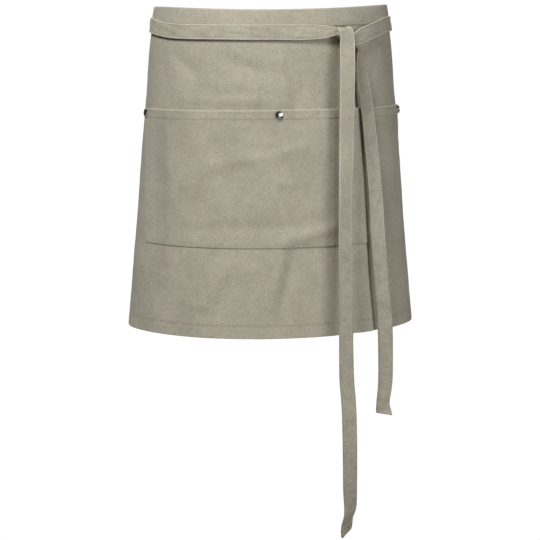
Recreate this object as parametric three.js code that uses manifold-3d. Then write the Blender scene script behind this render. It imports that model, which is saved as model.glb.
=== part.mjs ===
// Waist apron worn round a body and tied at the front.
// Millimetres. +Z is up, +X is to the right as seen from the front, and the front faces -Y.
// The origin is the middle of the waist, level with the apron's top edge at the front.

import * as THREE from 'three';
import { mergeVertices } from 'three/addons/utils/BufferGeometryUtils.js';
import Module from 'manifold-3d';

// Cloth, measured flat
const CLOTH_WIDTH = 820;
const APRON_LENGTH = 454;
const CLOTH_THICKNESS = 1.2;
const BOTTOM_HEM_HEIGHT = 19;
const SIDE_HEM_WIDTH = 14;

// The worn form: an oval at every height
const WAIST_HALF_WIDTH = 164;
const WAIST_HALF_DEPTH = 128;
const SIDE_RISE = 7;
const RIGHT_RISE = 1.8;

// Folds in the cloth, which begin below the band
const FOLD_HEIGHT = 3;
const FOLDS_BEGIN = 49;
const FOLDS_FULL = 78;

// Band over the top edge
const BAND_HEIGHT = 24;
const BAND_LEAF = 1.0;

// Pocket
const POCKET_HALF_WIDTH = 224;
const POCKET_TAPER = 17;
const POCKET_DROP = 136.5;
const POCKET_HEIGHT = 190;
const POCKET_HEM_HEIGHT = 11.4;
const POCKET_HEM_FADE = 35;
const POCKET_FULLNESS = 2.4;

// Rivets
const RIVET_CAP_RADIUS = 5.6;
const RIVET_CAP_HEIGHT = 2.6;
const RIVET_RIM_HEIGHT = 0.65;
const RIVET_SHANK_RADIUS = 1.8;
const RIVET_WASHER_RADIUS = 4.6;
const RIVET_WASHER_THICKNESS = 0.9;
const RIVET_INSET = 6.3;
const RIVET_EDGE_DISTANCE = 6;

// Ties
const TIE_WIDTH = 20.4;
const TIE_THICKNESS = 2;
const TIE_EDGE_BEVEL = 0.35;
const TIE_SEWN_LENGTH = 26;
const KNOT_ACROSS = 91.3;
const KNOT_DROP = 34.7;
const LONG_TAIL_LENGTH = 703;
const SHORT_TAIL_LENGTH = 540;
const TAIL_STANDOFF = 12;

// Clearances
const PLY_GAP = 0.4;
const RIVET_HOLE_CLEARANCE = 0.3;
const RIVET_SEAT_GAP = 0.6;

// Spacing and numbers of faces
const PANEL_COLUMNS = 60;
const PANEL_ROW_HEIGHT = 27;
const HEM_STEP = 1.5;
const ARC_STEPS = 120;
const SLOPE_REACH = 0.5;
const RIVET_SIDES = 16;
const RIVET_CAP_STEPS = 5;
const HOLE_SIDES = 14;
const TIE_RING_SPACING = 26;
const KNOT_SPAN = 9;
const KNOT_SPAN_RINGS = 2;
const ROUND_STEP_DEGREES = 5.5;

const FINISHES = {
  canvas: { color: 0xa9a38f, roughness: 0.95, metalness: 0 },
  nickel: { color: 0x8f8e8c, roughness: 0.35, metalness: 1 },
};

// Sections of the worn form. down is a share of the apron's length; width, depth and rise are
// shares of the waist's half width, its half depth and the rise of the top edge at the sides.
const FORM = [
  { down: 0.00, width: 1.000, depth: 1.000, rise: 1.00 },
  { down: 0.13, width: 1.055, depth: 1.016, rise: 0.64 },
  { down: 0.24, width: 1.078, depth: 1.023, rise: 0.21 },
  { down: 0.33, width: 1.104, depth: 1.023, rise: 0.04 },
  { down: 0.51, width: 1.144, depth: 1.023, rise: 0.14 },
  { down: 0.73, width: 1.196, depth: 1.016, rise: 0.33 },
  { down: 1.00, width: 1.262, depth: 1.000, rise: 0.61 },
];

// Soft folds and dents. across and wide are shares of half the cloth's width, down and long are
// shares of its length, lean is how far the fold moves across by the time it has gone its length
// down, and height is a share of FOLD_HEIGHT, outward where positive.
const FOLDS = [
  { across: 0.012, down: 0.24, wide: 0.028, long: 0.070, lean: 0.01, height: 0.50 },
  { across: 0.062, down: 0.22, wide: 0.030, long: 0.090, lean: 0.01, height: -0.60 },
  { across: -0.290, down: 0.16, wide: 0.060, long: 0.050, lean: 0.05, height: -0.55 },
  { across: -0.036, down: 0.84, wide: 0.034, long: 0.125, lean: -0.03, height: 0.90 },
  { across: 0.034, down: 0.82, wide: 0.034, long: 0.125, lean: -0.03, height: -1.00 },
  { across: -0.440, down: 0.55, wide: 0.070, long: 0.200, lean: 0.00, height: -0.90 },
  { across: 0.360, down: 0.88, wide: 0.080, long: 0.200, lean: 0.03, height: -0.90 },
  { across: -0.250, down: 0.90, wide: 0.100, long: 0.160, lean: -0.04, height: 0.80 },
  { across: -0.770, down: 0.95, wide: 0.065, long: 0.350, lean: 0.02, height: 2.20 },
  { across: -0.910, down: 0.95, wide: 0.065, long: 0.400, lean: 0.02, height: -1.60 },
  { across: 0.770, down: 0.95, wide: 0.065, long: 0.350, lean: -0.02, height: 2.40 },
  { across: 0.910, down: 0.95, wide: 0.065, long: 0.400, lean: -0.02, height: -1.70 },
  { across: 0.264, down: 0.50, wide: 0.038, long: 0.800, lean: 0.00, height: -1.40 },
];

// Faces counted outward from the form that the cloth wraps
const CLOTH_FACE = CLOTH_THICKNESS;
const BAND_FACE = CLOTH_FACE + PLY_GAP + BAND_LEAF;
const POCKET_SEAM_FACE = CLOTH_FACE + PLY_GAP + CLOTH_THICKNESS;
const TIE_LAYER = TIE_THICKNESS + PLY_GAP;
const FIRST_TIE_LAYER = BAND_FACE + PLY_GAP + TIE_THICKNESS / 2;

const DEGREE = Math.PI / 180;

// A smooth column of a table, read at a share between its rows
function column(table, place, name, at) {
  const last = table.length - 1;
  const share = Math.min(Math.max(at, table[0][place]), table[last][place]);
  let i = 0;
  while (i < last - 1 && share > table[i + 1][place]) i += 1;
  const span = table[i + 1][place] - table[i][place];
  const t = (share - table[i][place]) / span;
  const slope = (k) => {
    const before = table[Math.max(k - 1, 0)];
    const after = table[Math.min(k + 1, last)];
    return (after[name] - before[name]) / (after[place] - before[place]);
  };
  const h = THREE.MathUtils.lerp(table[i][name], table[i + 1][name], t * t * (3 - 2 * t));
  return h + span * t * (1 - t) * ((1 - t) * slope(i) - t * slope(i + 1));
}

function formAt(drop) {
  const at = drop / APRON_LENGTH;
  return {
    halfWidth: WAIST_HALF_WIDTH * column(FORM, 'down', 'width', at),
    halfDepth: WAIST_HALF_DEPTH * column(FORM, 'down', 'depth', at),
    rise: SIDE_RISE * column(FORM, 'down', 'rise', at),
  };
}

// The way out of the form at a turn round it from the front
function outward(turn, drop) {
  const { halfWidth, halfDepth } = formAt(drop);
  return new THREE.Vector3(Math.sin(turn) / halfWidth, -Math.cos(turn) / halfDepth, 0).normalize();
}

function onForm(turn, drop, lift) {
  const { halfWidth, halfDepth, rise } = formAt(drop);
  const sine = Math.sin(turn);
  const height = rise * sine * sine + RIGHT_RISE * sine - drop;
  const place = new THREE.Vector3(halfWidth * sine, -halfDepth * Math.cos(turn), height);
  return place.addScaledVector(outward(turn, drop), lift);
}

// The way straight out of the form's own slope, for what lies flat on it
function faceOf(turn, drop) {
  const reach = SLOPE_REACH / WAIST_HALF_WIDTH;
  const down = onForm(turn, drop + SLOPE_REACH, 0).sub(onForm(turn, drop - SLOPE_REACH, 0));
  const along = onForm(turn + reach, drop, 0).sub(onForm(turn - reach, drop, 0));
  return down.cross(along).normalize();
}

// Length round the form from the front, kept for each drop
const arcs = new Map();
function arcAt(drop) {
  if (arcs.has(drop)) return arcs.get(drop);
  const { halfWidth, halfDepth } = formAt(drop);
  const step = Math.PI / ARC_STEPS;
  const lengths = [0];
  for (let i = 1; i <= ARC_STEPS; i += 1) {
    const turn = (i - 0.5) * step;
    lengths.push(lengths[i - 1] + step * Math.hypot(halfWidth * Math.cos(turn), halfDepth * Math.sin(turn)));
  }
  arcs.set(drop, lengths);
  return lengths;
}

function turnAt(across, drop) {
  const lengths = arcAt(drop);
  const length = Math.abs(across);
  let i = 0;
  while (i < ARC_STEPS - 1 && lengths[i + 1] < length) i += 1;
  const share = (length - lengths[i]) / (lengths[i + 1] - lengths[i]);
  return Math.sign(across) * (i + share) * Math.PI / ARC_STEPS;
}

function foldAt(across, drop) {
  const belowBand = THREE.MathUtils.smoothstep(drop, FOLDS_BEGIN, FOLDS_FULL);
  let height = 0;
  for (const fold of FOLDS) {
    const down = drop / APRON_LENGTH - fold.down;
    const side = across / (CLOTH_WIDTH / 2) - fold.across - fold.lean * down / fold.long;
    height += fold.height * Math.exp(-((side / fold.wide) ** 2) - (down / fold.long) ** 2);
  }
  return FOLD_HEIGHT * belowBand * height;
}

function onCloth(across, drop, lift) {
  return onForm(turnAt(across, drop), drop, lift + foldAt(across, drop));
}

function evenly(from, to, spacing) {
  const steps = Math.max(1, Math.round((to - from) / spacing));
  return Array.from({ length: steps + 1 }, (_, i) => from + (to - from) * i / steps);
}

function geometryOf(points, triangles) {
  const geometry = new THREE.BufferGeometry();
  geometry.setAttribute('position', new THREE.Float32BufferAttribute(points.flatMap((p) => p.toArray()), 3));
  geometry.setIndex(triangles.flat());
  return geometry;
}

// A wall between an outer and an inner sheet of the same columns and rows
function wall(columns, rows, outer, inner) {
  const points = [];
  for (const sheet of [outer, inner]) {
    rows.forEach((_, j) => columns.forEach((_, i) => points.push(sheet(i, j))));
  }
  const across = columns.length;
  const half = points.length / 2;
  const at = (i, j) => j * across + i;
  const triangles = [];
  for (let j = 0; j < rows.length - 1; j += 1) {
    for (let i = 0; i < across - 1; i += 1) {
      const corners = [at(i, j), at(i, j + 1), at(i + 1, j + 1), at(i + 1, j)];
      const [a, b, c, d] = corners;
      const [e, f, g, h] = corners.map((corner) => corner + half);
      triangles.push([a, b, c], [a, c, d], [e, g, f], [e, h, g]);
    }
  }
  const rim = [];
  for (let j = 0; j < rows.length - 1; j += 1) rim.push(at(0, j));
  for (let i = 0; i < across - 1; i += 1) rim.push(at(i, rows.length - 1));
  for (let j = rows.length - 1; j > 0; j -= 1) rim.push(at(across - 1, j));
  for (let i = across - 1; i > 0; i -= 1) rim.push(at(i, 0));
  rim.forEach((p, k) => {
    const q = rim[(k + 1) % rim.length];
    triangles.push([q, p, p + half], [q, p + half, q + half]);
  });
  return geometryOf(points, triangles);
}

// A closed body through rings of points that all follow one outline, drawn anticlockwise as seen
// from the far end
function sweep(outline, rings) {
  const count = outline.length;
  const triangles = [];
  for (let i = 0; i < rings.length - 1; i += 1) {
    for (let k = 0; k < count; k += 1) {
      const a = i * count + k;
      const b = i * count + (k + 1) % count;
      triangles.push([a, b, b + count], [a, b + count, a + count]);
    }
  }
  const end = (rings.length - 1) * count;
  for (const cap of THREE.ShapeUtils.triangulateShape(outline, [])) {
    const turned = THREE.ShapeUtils.area(cap.map((k) => outline[k])) < 0;
    const [a, b, c] = turned ? [...cap].reverse() : cap;
    triangles.push([c, b, a], [a + end, b + end, c + end]);
  }
  return geometryOf(rings.flat(), triangles);
}

// Panel: the hems are folded inward along the bottom and the two back edges
const panelTop = PLY_GAP + BAND_LEAF;
const sideHemTop = BAND_HEIGHT + PLY_GAP;
const pocketBottom = POCKET_DROP + POCKET_HEIGHT;

// The pocket narrows towards its bottom. The panel's columns follow its sides, so that the two
// lie face to face, and come back to the cloth's own edges.
function leaning(across, drop) {
  const half = CLOTH_WIDTH / 2;
  const lean = POCKET_TAPER * THREE.MathUtils.clamp((drop - POCKET_DROP) / POCKET_HEIGHT, 0, 1);
  const from = Math.abs(across);
  const inPocket = from / POCKET_HALF_WIDTH;
  const share = inPocket <= 1 ? inPocket : (half - from) / (half - POCKET_HALF_WIDTH);
  return across - Math.sign(across) * lean * share;
}

function panelColumns() {
  const half = CLOTH_WIDTH / 2;
  const inside = half - SIDE_HEM_WIDTH;
  const spacing = CLOTH_WIDTH / PANEL_COLUMNS;
  const right = [
    ...evenly(0, POCKET_HALF_WIDTH, spacing),
    ...evenly(POCKET_HALF_WIDTH, inside - HEM_STEP, spacing).slice(1),
    inside,
    half,
  ];
  return [...right.slice(1).reverse().map((across) => -across), ...right];
}

function panelRows() {
  return [
    panelTop,
    sideHemTop,
    ...evenly(sideHemTop + HEM_STEP, POCKET_DROP, PANEL_ROW_HEIGHT),
    ...pocketRows().slice(1),
    ...evenly(pocketBottom, APRON_LENGTH - BOTTOM_HEM_HEIGHT - HEM_STEP, PANEL_ROW_HEIGHT).slice(1),
    APRON_LENGTH - BOTTOM_HEM_HEIGHT,
    APRON_LENGTH,
  ];
}

function pocketRows() {
  const hemEnd = POCKET_DROP + POCKET_HEM_HEIGHT;
  return [POCKET_DROP, hemEnd, ...evenly(hemEnd + HEM_STEP, pocketBottom, PANEL_ROW_HEIGHT)];
}

function panelGeometry() {
  const columns = panelColumns();
  const rows = panelRows();
  const isHem = (i, j) => {
    const atSide = i <= 1 || i >= columns.length - 2;
    const atBottom = rows[j] >= APRON_LENGTH - BOTTOM_HEM_HEIGHT;
    return atBottom || (atSide && rows[j] > sideHemTop);
  };
  const sheet = (i, j, lift) => onCloth(leaning(columns[i], rows[j]), rows[j], lift);
  const outer = (i, j) => sheet(i, j, CLOTH_FACE);
  const inner = (i, j) => sheet(i, j, isHem(i, j) ? -CLOTH_THICKNESS : 0);
  return wall(columns, rows, outer, inner);
}

// Waistband: one strip folded over the panel's top edge, down both of its faces
function waistbandGeometry() {
  const inFace = -PLY_GAP - BAND_LEAF;
  const bevel = BAND_LEAF / 2;
  const outline = [
    [BAND_FACE, BAND_HEIGHT], [BAND_FACE - BAND_LEAF, BAND_HEIGHT],
    [BAND_FACE - BAND_LEAF, BAND_LEAF], [-PLY_GAP, BAND_LEAF],
    [-PLY_GAP, BAND_HEIGHT], [inFace, BAND_HEIGHT],
    [inFace, bevel], [inFace + bevel, 0],
    [BAND_FACE - bevel, 0], [BAND_FACE, bevel],
  ].map(([out, drop]) => new THREE.Vector2(out, drop));
  if (THREE.ShapeUtils.isClockWise(outline)) outline.reverse();
  const rings = panelColumns().map((across) => {
    return outline.map((corner) => onForm(turnAt(across, BAND_HEIGHT), corner.y, corner.x));
  });
  return sweep(outline, rings);
}

// Pocket: flat on the panel at its sides, bottom and middle seam, and full between them
function pocketFace(across, drop) {
  const share = (drop - POCKET_DROP) / POCKET_HEIGHT;
  const side = Math.sin(Math.PI * across / POCKET_HALF_WIDTH) ** 2;
  const belowHem = drop - POCKET_DROP - POCKET_HEM_HEIGHT;
  const hem = 1 - THREE.MathUtils.smoothstep(belowHem, 0, POCKET_HEM_FADE);
  const full = Math.cos(Math.PI / 2 * share);
  return POCKET_SEAM_FACE + CLOTH_THICKNESS * hem + POCKET_FULLNESS * side * full;
}

function pocketGeometry() {
  const rows = pocketRows();
  const columns = panelColumns().filter((across) => Math.abs(across) <= POCKET_HALF_WIDTH);
  const sheet = (i, j, depth) => {
    return onCloth(leaning(columns[i], rows[j]), rows[j], pocketFace(columns[i], rows[j]) - depth);
  };
  const outer = (i, j) => sheet(i, j, 0);
  const inner = (i, j) => sheet(i, j, j <= 1 ? 2 * CLOTH_THICKNESS : CLOTH_THICKNESS);
  return wall(columns, rows, outer, inner);
}

// Rivets: one at each top corner of the pocket and one at the head of its middle seam
const RIVET_PLACES = [
  { name: 'rivet_left', across: -(POCKET_HALF_WIDTH - RIVET_EDGE_DISTANCE) },
  { name: 'rivet_centre', across: 0 },
  { name: 'rivet_right', across: POCKET_HALF_WIDTH - RIVET_EDGE_DISTANCE },
];
const rivetDrop = POCKET_DROP + RIVET_INSET;
const rivetHead = POCKET_SEAM_FACE + CLOTH_THICKNESS + RIVET_SEAT_GAP;

// A place on the pocket's hem, with the way straight out of the cloth there
function rivetFrame(across) {
  const reach = RIVET_CAP_RADIUS;
  const lift = pocketFace(across, rivetDrop);
  const middle = leaning(across, rivetDrop);
  const face = (a, d) => onCloth(a, d, lift);
  const along = face(middle + reach, rivetDrop).sub(face(middle - reach, rivetDrop));
  const down = face(middle, rivetDrop + reach).sub(face(middle, rivetDrop - reach));
  const out = down.cross(along).normalize();
  const turn = new THREE.Quaternion().setFromUnitVectors(new THREE.Vector3(0, 1, 0), out);
  return { base: onCloth(middle, rivetDrop, 0), turn };
}

function rivetGeometry() {
  const cap = [];
  for (let i = 0; i < RIVET_CAP_STEPS; i += 1) {
    const turn = i / RIVET_CAP_STEPS * Math.PI / 2;
    const crown = THREE.MathUtils.lerp(RIVET_RIM_HEIGHT, RIVET_CAP_HEIGHT, Math.sin(turn));
    cap.push([RIVET_CAP_RADIUS * Math.cos(turn), rivetHead + crown]);
  }
  cap.push([0, rivetHead + RIVET_CAP_HEIGHT]);
  const washerFace = -RIVET_SEAT_GAP;
  const profile = [
    [0, washerFace - RIVET_WASHER_THICKNESS],
    [RIVET_WASHER_RADIUS, washerFace - RIVET_WASHER_THICKNESS],
    [RIVET_WASHER_RADIUS, washerFace],
    [RIVET_SHANK_RADIUS, washerFace],
    [RIVET_SHANK_RADIUS, rivetHead],
    [RIVET_CAP_RADIUS, rivetHead],
    ...cap,
  ];
  const points = profile.map(([radius, height]) => new THREE.Vector2(radius, height));
  return new THREE.LatheGeometry(points, RIVET_SIDES);
}

// Ties: a strip of flat strap through stations, each with its middle, the way its face looks,
// its width and how far one corner runs ahead of the other at a cut end. The outline is in
// halves of the strap's width and thickness.
const flatEnd = 1 - TIE_EDGE_BEVEL / (TIE_WIDTH / 2);
const TIE_OUTLINE = [
  [1, 0], [flatEnd, 1], [-flatEnd, 1], [-1, 0], [-flatEnd, -1], [flatEnd, -1],
].map(([w, t]) => new THREE.Vector2(w, t));

// Way round the body from the sewn end at the back to the knot. along is the share of the turn,
// drop a share of the band's height, layer counts ties between this one and the band, and wide is
// a share of the tie's width. Each ends at its share of that width across from the knot's middle.
const LEFT_ROUND_END = -0.75;
const RIGHT_ROUND_END = 1.25;
const LEFT_ROUND = [
  { along: 0.000, drop: 0.50, layer: 0, wide: 1.00 },
  { along: 0.044, drop: 0.51, layer: 0, wide: 1.00 },
  { along: 0.125, drop: 0.94, layer: 0, wide: 1.00 },
  { along: 0.197, drop: 1.43, layer: 0, wide: 1.00 },
  { along: 0.252, drop: 1.45, layer: 0, wide: 1.00 },
  { along: 0.421, drop: 1.16, layer: 0, wide: 1.00 },
  { along: 0.506, drop: 1.03, layer: 0, wide: 1.00 },
  { along: 0.578, drop: 1.18, layer: 0, wide: 1.00 },
  { along: 0.650, drop: 1.32, layer: 0, wide: 1.00 },
  { along: 0.772, drop: 1.30, layer: 0, wide: 1.00 },
  { along: 0.887, drop: 1.29, layer: 0, wide: 1.02 },
  { along: 0.929, drop: 1.32, layer: 0, wide: 1.05 },
  { along: 0.968, drop: 1.35, layer: 0.8, wide: 0.94 },
  { along: 0.986, drop: 1.38, layer: 1.9, wide: 0.72 },
  { along: 1.000, drop: 1.42, layer: 2.9, wide: 0.36 },
];
const RIGHT_ROUND = [
  { along: 0.000, drop: 0.50, layer: 0, wide: 1.00 },
  { along: 0.042, drop: 0.50, layer: 0, wide: 1.00 },
  { along: 0.075, drop: 0.50, layer: 1, wide: 1.00 },
  { along: 0.177, drop: 0.94, layer: 1, wide: 1.00 },
  { along: 0.279, drop: 1.43, layer: 1, wide: 1.00 },
  { along: 0.321, drop: 1.45, layer: 0.1, wide: 1.00 },
  { along: 0.417, drop: 1.37, layer: 0, wide: 1.00 },
  { along: 0.597, drop: 1.24, layer: 0, wide: 1.00 },
  { along: 0.717, drop: 1.12, layer: 0, wide: 1.00 },
  { along: 0.789, drop: 1.08, layer: 0, wide: 1.00 },
  { along: 0.867, drop: 1.14, layer: 0, wide: 1.03 },
  { along: 0.954, drop: 1.40, layer: 0.6, wide: 1.07 },
  { along: 1.000, drop: 1.57, layer: 1.6, wide: 1.05 },
];

// Through the knot. across and drop are shares of the tie's width from the knot's middle, and
// fold turns the strap's face from outward (0) over the top to inward (180).
const LEFT_KNOT = [
  { across: -0.55, drop: 0.02, layer: 4.0, wide: 0.33, fold: 0 },
  { across: -0.27, drop: 0.08, layer: 3.7, wide: 0.32, fold: 0 },
  { across: 0.03, drop: 0.18, layer: 2.2, wide: 0.32, fold: 0 },
  { across: 0.32, drop: 0.36, layer: 0.7, wide: 0.34, fold: 0 },
  { across: 0.60, drop: 0.61, layer: 0.3, wide: 0.34, fold: 0 },
  { across: 0.88, drop: 0.83, layer: 0.0, wide: 0.29, fold: 0 },
  { across: 1.04, drop: 1.08, layer: 0.0, wide: 0.31, fold: 0 },
  { across: 1.02, drop: 1.49, layer: 0.0, wide: 0.50, fold: 0 },
  { across: 1.11, drop: 2.21, layer: 0.2, wide: 0.78, fold: 0 },
];
const RIGHT_KNOT = [
  { across: 0.86, drop: 0.29, layer: 2.3, wide: 1.00, fold: 0 },
  { across: 0.46, drop: 0.44, layer: 3.2, wide: 0.82, fold: 0 },
  { across: 0.19, drop: 0.60, layer: 3.2, wide: 0.56, fold: 0 },
  { across: 0.00, drop: 0.69, layer: 2.7, wide: 0.42, fold: 0 },
  { across: -0.14, drop: 0.66, layer: 2.0, wide: 0.40, fold: 0 },
  { across: -0.22, drop: 0.50, layer: 1.2, wide: 0.40, fold: 0 },
  { across: -0.24, drop: 0.28, layer: 0.9, wide: 0.42, fold: 0 },
  { across: -0.23, drop: 0.04, layer: 0.9, wide: 0.44, fold: 0 },
  { across: -0.19, drop: -0.12, layer: 1.2, wide: 0.50, fold: 0 },
  { across: -0.18, drop: -0.22, layer: 1.8, wide: 0.62, fold: 0 },
  { across: -0.17, drop: -0.28, layer: 2.3, wide: 0.85, fold: 45 },
  { across: -0.23, drop: -0.30, layer: 3.9, wide: 1.08, fold: 90 },
  { across: -0.29, drop: -0.27, layer: 5.5, wide: 1.16, fold: 135 },
  { across: -0.28, drop: -0.19, layer: 5.9, wide: 1.15, fold: 180 },
  { across: -0.26, drop: 0.21, layer: 6.2, wide: 1.06, fold: 180 },
];

// Hanging tails. down is a share of the tail's length below the knot's middle, across a share of
// the tie's width from that middle, face is degrees that the strap is turned to the right, and
// skew a share of its width. The long tail hangs plumb, off the cloth by out, a share of
// TAIL_STANDOFF; the short one has its left edge at across and rests off the form by out, a share
// of the pocket's full face.
const LONG_TAIL = [
  { down: 0.030, across: 0.11, out: 0.35, face: 0, wide: 1.03, skew: 0 },
  { down: 0.055, across: 0.10, out: 0.75, face: 0, wide: 1.01, skew: 0 },
  { down: 0.090, across: 0.08, out: 1.00, face: 0, wide: 1.00, skew: 0 },
  { down: 0.180, across: 0.05, out: 1.00, face: 8, wide: 1.00, skew: 0 },
  { down: 0.330, across: -0.01, out: 1.00, face: 29, wide: 1.00, skew: 0 },
  { down: 0.450, across: 0.05, out: 1.00, face: 16, wide: 1.00, skew: 0 },
  { down: 0.610, across: 0.11, out: 1.00, face: 7, wide: 1.00, skew: 0 },
  { down: 0.680, across: 0.17, out: 1.00, face: 3, wide: 1.03, skew: 0 },
  { down: 0.730, across: 0.31, out: 1.02, face: 0, wide: 1.02, skew: 0 },
  { down: 0.800, across: 0.40, out: 1.04, face: 0, wide: 1.02, skew: 0 },
  { down: 0.900, across: 0.44, out: 1.04, face: 8, wide: 1.00, skew: 0 },
  { down: 0.945, across: 0.46, out: 1.00, face: 29, wide: 1.00, skew: 0 },
  { down: 0.966, across: 0.28, out: 0.95, face: 42, wide: 1.00, skew: 0.05 },
  { down: 0.994, across: 0.25, out: 0.95, face: 48, wide: 0.96, skew: 0.2 },
];
const SHORT_TAIL = [
  { down: 0.119, across: 0.77, out: 0.88, face: 26, wide: 1.00, skew: 0 },
  { down: 0.165, across: 0.97, out: 1.00, face: 30, wide: 1.00, skew: 0 },
  { down: 0.254, across: 1.24, out: 1.02, face: 24, wide: 1.00, skew: 0 },
  { down: 0.420, across: 1.71, out: 0.92, face: 18, wide: 1.00, skew: 0 },
  { down: 0.495, across: 1.82, out: 0.82, face: 6, wide: 1.00, skew: 0 },
  { down: 0.625, across: 2.15, out: 0.70, face: 1, wide: 1.00, skew: 0 },
  { down: 0.725, across: 2.43, out: 0.62, face: 0, wide: 1.03, skew: 0 },
  { down: 0.779, across: 2.49, out: 0.60, face: 0, wide: 1.06, skew: 0 },
  { down: 0.901, across: 2.55, out: 0.60, face: 2, wide: 1.03, skew: 0 },
  { down: 0.932, across: 2.51, out: 0.60, face: 5, wide: 1.02, skew: 0 },
  { down: 0.994, across: 2.47, out: 0.62, face: 8, wide: 1.01, skew: 0.12 },
];

const layerLift = (layer) => FIRST_TIE_LAYER + layer * TIE_LAYER;
const turnToward = (across, drop) => Math.asin(across / formAt(drop).halfWidth);

// side is 1 for a tie that comes round the right and -1 for one round the left
function roundStations(table, side, knotEdge) {
  const endDrop = table[table.length - 1].drop * BAND_HEIGHT;
  const sewnAt = turnAt(CLOTH_WIDTH / 2 - TIE_SEWN_LENGTH, BAND_HEIGHT / 2);
  const start = side * (2 * Math.PI - sewnAt);
  const end = turnToward(KNOT_ACROSS + knotEdge * TIE_WIDTH, endDrop);
  const steps = Math.round(Math.abs(end - start) / (ROUND_STEP_DEGREES * DEGREE));
  return Array.from({ length: steps + 1 }, (_, i) => {
    const at = i / steps;
    const turn = THREE.MathUtils.lerp(start, end, at);
    const drop = BAND_HEIGHT * column(table, 'along', 'drop', at);
    const layer = column(table, 'along', 'layer', at);
    const wide = column(table, 'along', 'wide', at);
    return { place: onForm(turn, drop, layerLift(layer)), face: faceOf(turn, drop), wide, skew: 0 };
  });
}

function knotStations(table) {
  return table.map((row) => {
    const drop = KNOT_DROP + row.drop * TIE_WIDTH;
    const turn = turnToward(KNOT_ACROSS + row.across * TIE_WIDTH, drop);
    const fold = row.fold * DEGREE;
    const face = faceOf(turn, drop).multiplyScalar(Math.cos(fold));
    face.z -= Math.sin(fold);
    return { place: onForm(turn, drop, layerLift(row.layer)), face, wide: row.wide, skew: 0 };
  });
}

function longTailStations() {
  const front = knotStations(RIGHT_KNOT).at(-1).place;
  return LONG_TAIL.map((row) => {
    const turn = row.face * DEGREE;
    const place = new THREE.Vector3(
      KNOT_ACROSS + row.across * TIE_WIDTH,
      front.y - row.out * TAIL_STANDOFF,
      -KNOT_DROP - row.down * LONG_TAIL_LENGTH,
    );
    const face = new THREE.Vector3(-Math.sin(turn), Math.cos(turn), 0);
    return { place, face, wide: row.wide, skew: row.skew };
  });
}

function shortTailStations() {
  const rest = POCKET_SEAM_FACE + CLOTH_THICKNESS + POCKET_FULLNESS + PLY_GAP + TIE_THICKNESS / 2;
  return SHORT_TAIL.map((row) => {
    const drop = KNOT_DROP + row.down * SHORT_TAIL_LENGTH;
    const onto = Math.min(drop, APRON_LENGTH);
    const place = onForm(turnToward(KNOT_ACROSS + row.across * TIE_WIDTH, onto), onto, row.out * rest);
    const turn = row.face * DEGREE;
    const reach = row.wide * TIE_WIDTH / 2;
    place.x += reach * Math.cos(turn);
    place.y += reach * Math.sin(turn);
    place.z = -drop;
    const face = new THREE.Vector3(Math.sin(turn), -Math.cos(turn), 0);
    return { place, face, wide: row.wide, skew: row.skew };
  });
}

// Rings of a tie: the short spans between a knot's stations are cut alike, longer ones by length
function tieGeometry(stations) {
  const curve = new THREE.CatmullRomCurve3(stations.map((station) => station.place));
  const spans = stations.length - 1;
  const rings = [];
  const addRing = (i, part) => {
    const from = stations[i];
    const to = stations[Math.min(i + 1, spans)];
    const at = (i + part) / spans;
    const along = curve.getTangent(at);
    const face = from.face.clone().lerp(to.face, part);
    const wideWay = face.cross(along).normalize();
    const outWay = along.clone().cross(wideWay);
    const half = THREE.MathUtils.lerp(from.wide, to.wide, part) * TIE_WIDTH / 2;
    const skew = THREE.MathUtils.lerp(from.skew, to.skew, part) * TIE_WIDTH;
    const middle = curve.getPoint(at);
    rings.push(TIE_OUTLINE.map(({ x, y }) => {
      const corner = middle.clone().addScaledVector(wideWay, x * half);
      return corner.addScaledVector(outWay, y * TIE_THICKNESS / 2).addScaledVector(along, x * skew);
    }));
  };
  for (let i = 0; i < spans; i += 1) {
    const length = stations[i].place.distanceTo(stations[i + 1].place);
    const parts = length < KNOT_SPAN ? KNOT_SPAN_RINGS : Math.ceil(length / TIE_RING_SPACING);
    for (let k = 0; k < parts; k += 1) addRing(i, k / parts);
  }
  addRing(spans, 0);
  return sweep(TIE_OUTLINE, rings);
}

// Holes for the rivets
const wasm = await Module();
wasm.setup();

function solidOf(geometry) {
  const points = Float32Array.from(geometry.attributes.position.array);
  const triangles = Uint32Array.from(geometry.index.array);
  return new wasm.Manifold(new wasm.Mesh({ numProp: 3, vertProperties: points, triVerts: triangles }));
}

function geometryOfSolid(solid) {
  const mesh = solid.getMesh();
  const geometry = new THREE.BufferGeometry();
  geometry.setAttribute('position', new THREE.BufferAttribute(mesh.vertProperties, 3));
  geometry.setIndex(new THREE.BufferAttribute(mesh.triVerts, 1));
  return geometry;
}

function drillForRivets(geometry) {
  const radius = RIVET_SHANK_RADIUS + RIVET_HOLE_CLEARANCE;
  const bothWays = 2 * (rivetHead + RIVET_CAP_HEIGHT);
  let solid = solidOf(geometry);
  for (const { across } of RIVET_PLACES) {
    const { base, turn } = rivetFrame(across);
    const drill = mergeVertices(bare(new THREE.CylinderGeometry(radius, radius, bothWays, HOLE_SIDES)));
    drill.applyQuaternion(turn).translate(base.x, base.y, base.z);
    solid = solid.subtract(solidOf(drill));
  }
  return geometryOfSolid(solid);
}

function bare(geometry) {
  geometry.deleteAttribute('normal');
  geometry.deleteAttribute('uv');
  return geometry;
}

// The apron
const canvas = new THREE.MeshStandardMaterial(FINISHES.canvas);
const nickel = new THREE.MeshStandardMaterial(FINISHES.nickel);
const apron = new THREE.Group();

function addPiece(name, geometry, material) {
  const piece = new THREE.Mesh(geometry, material);
  piece.name = name;
  apron.add(piece);
  return piece;
}

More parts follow.
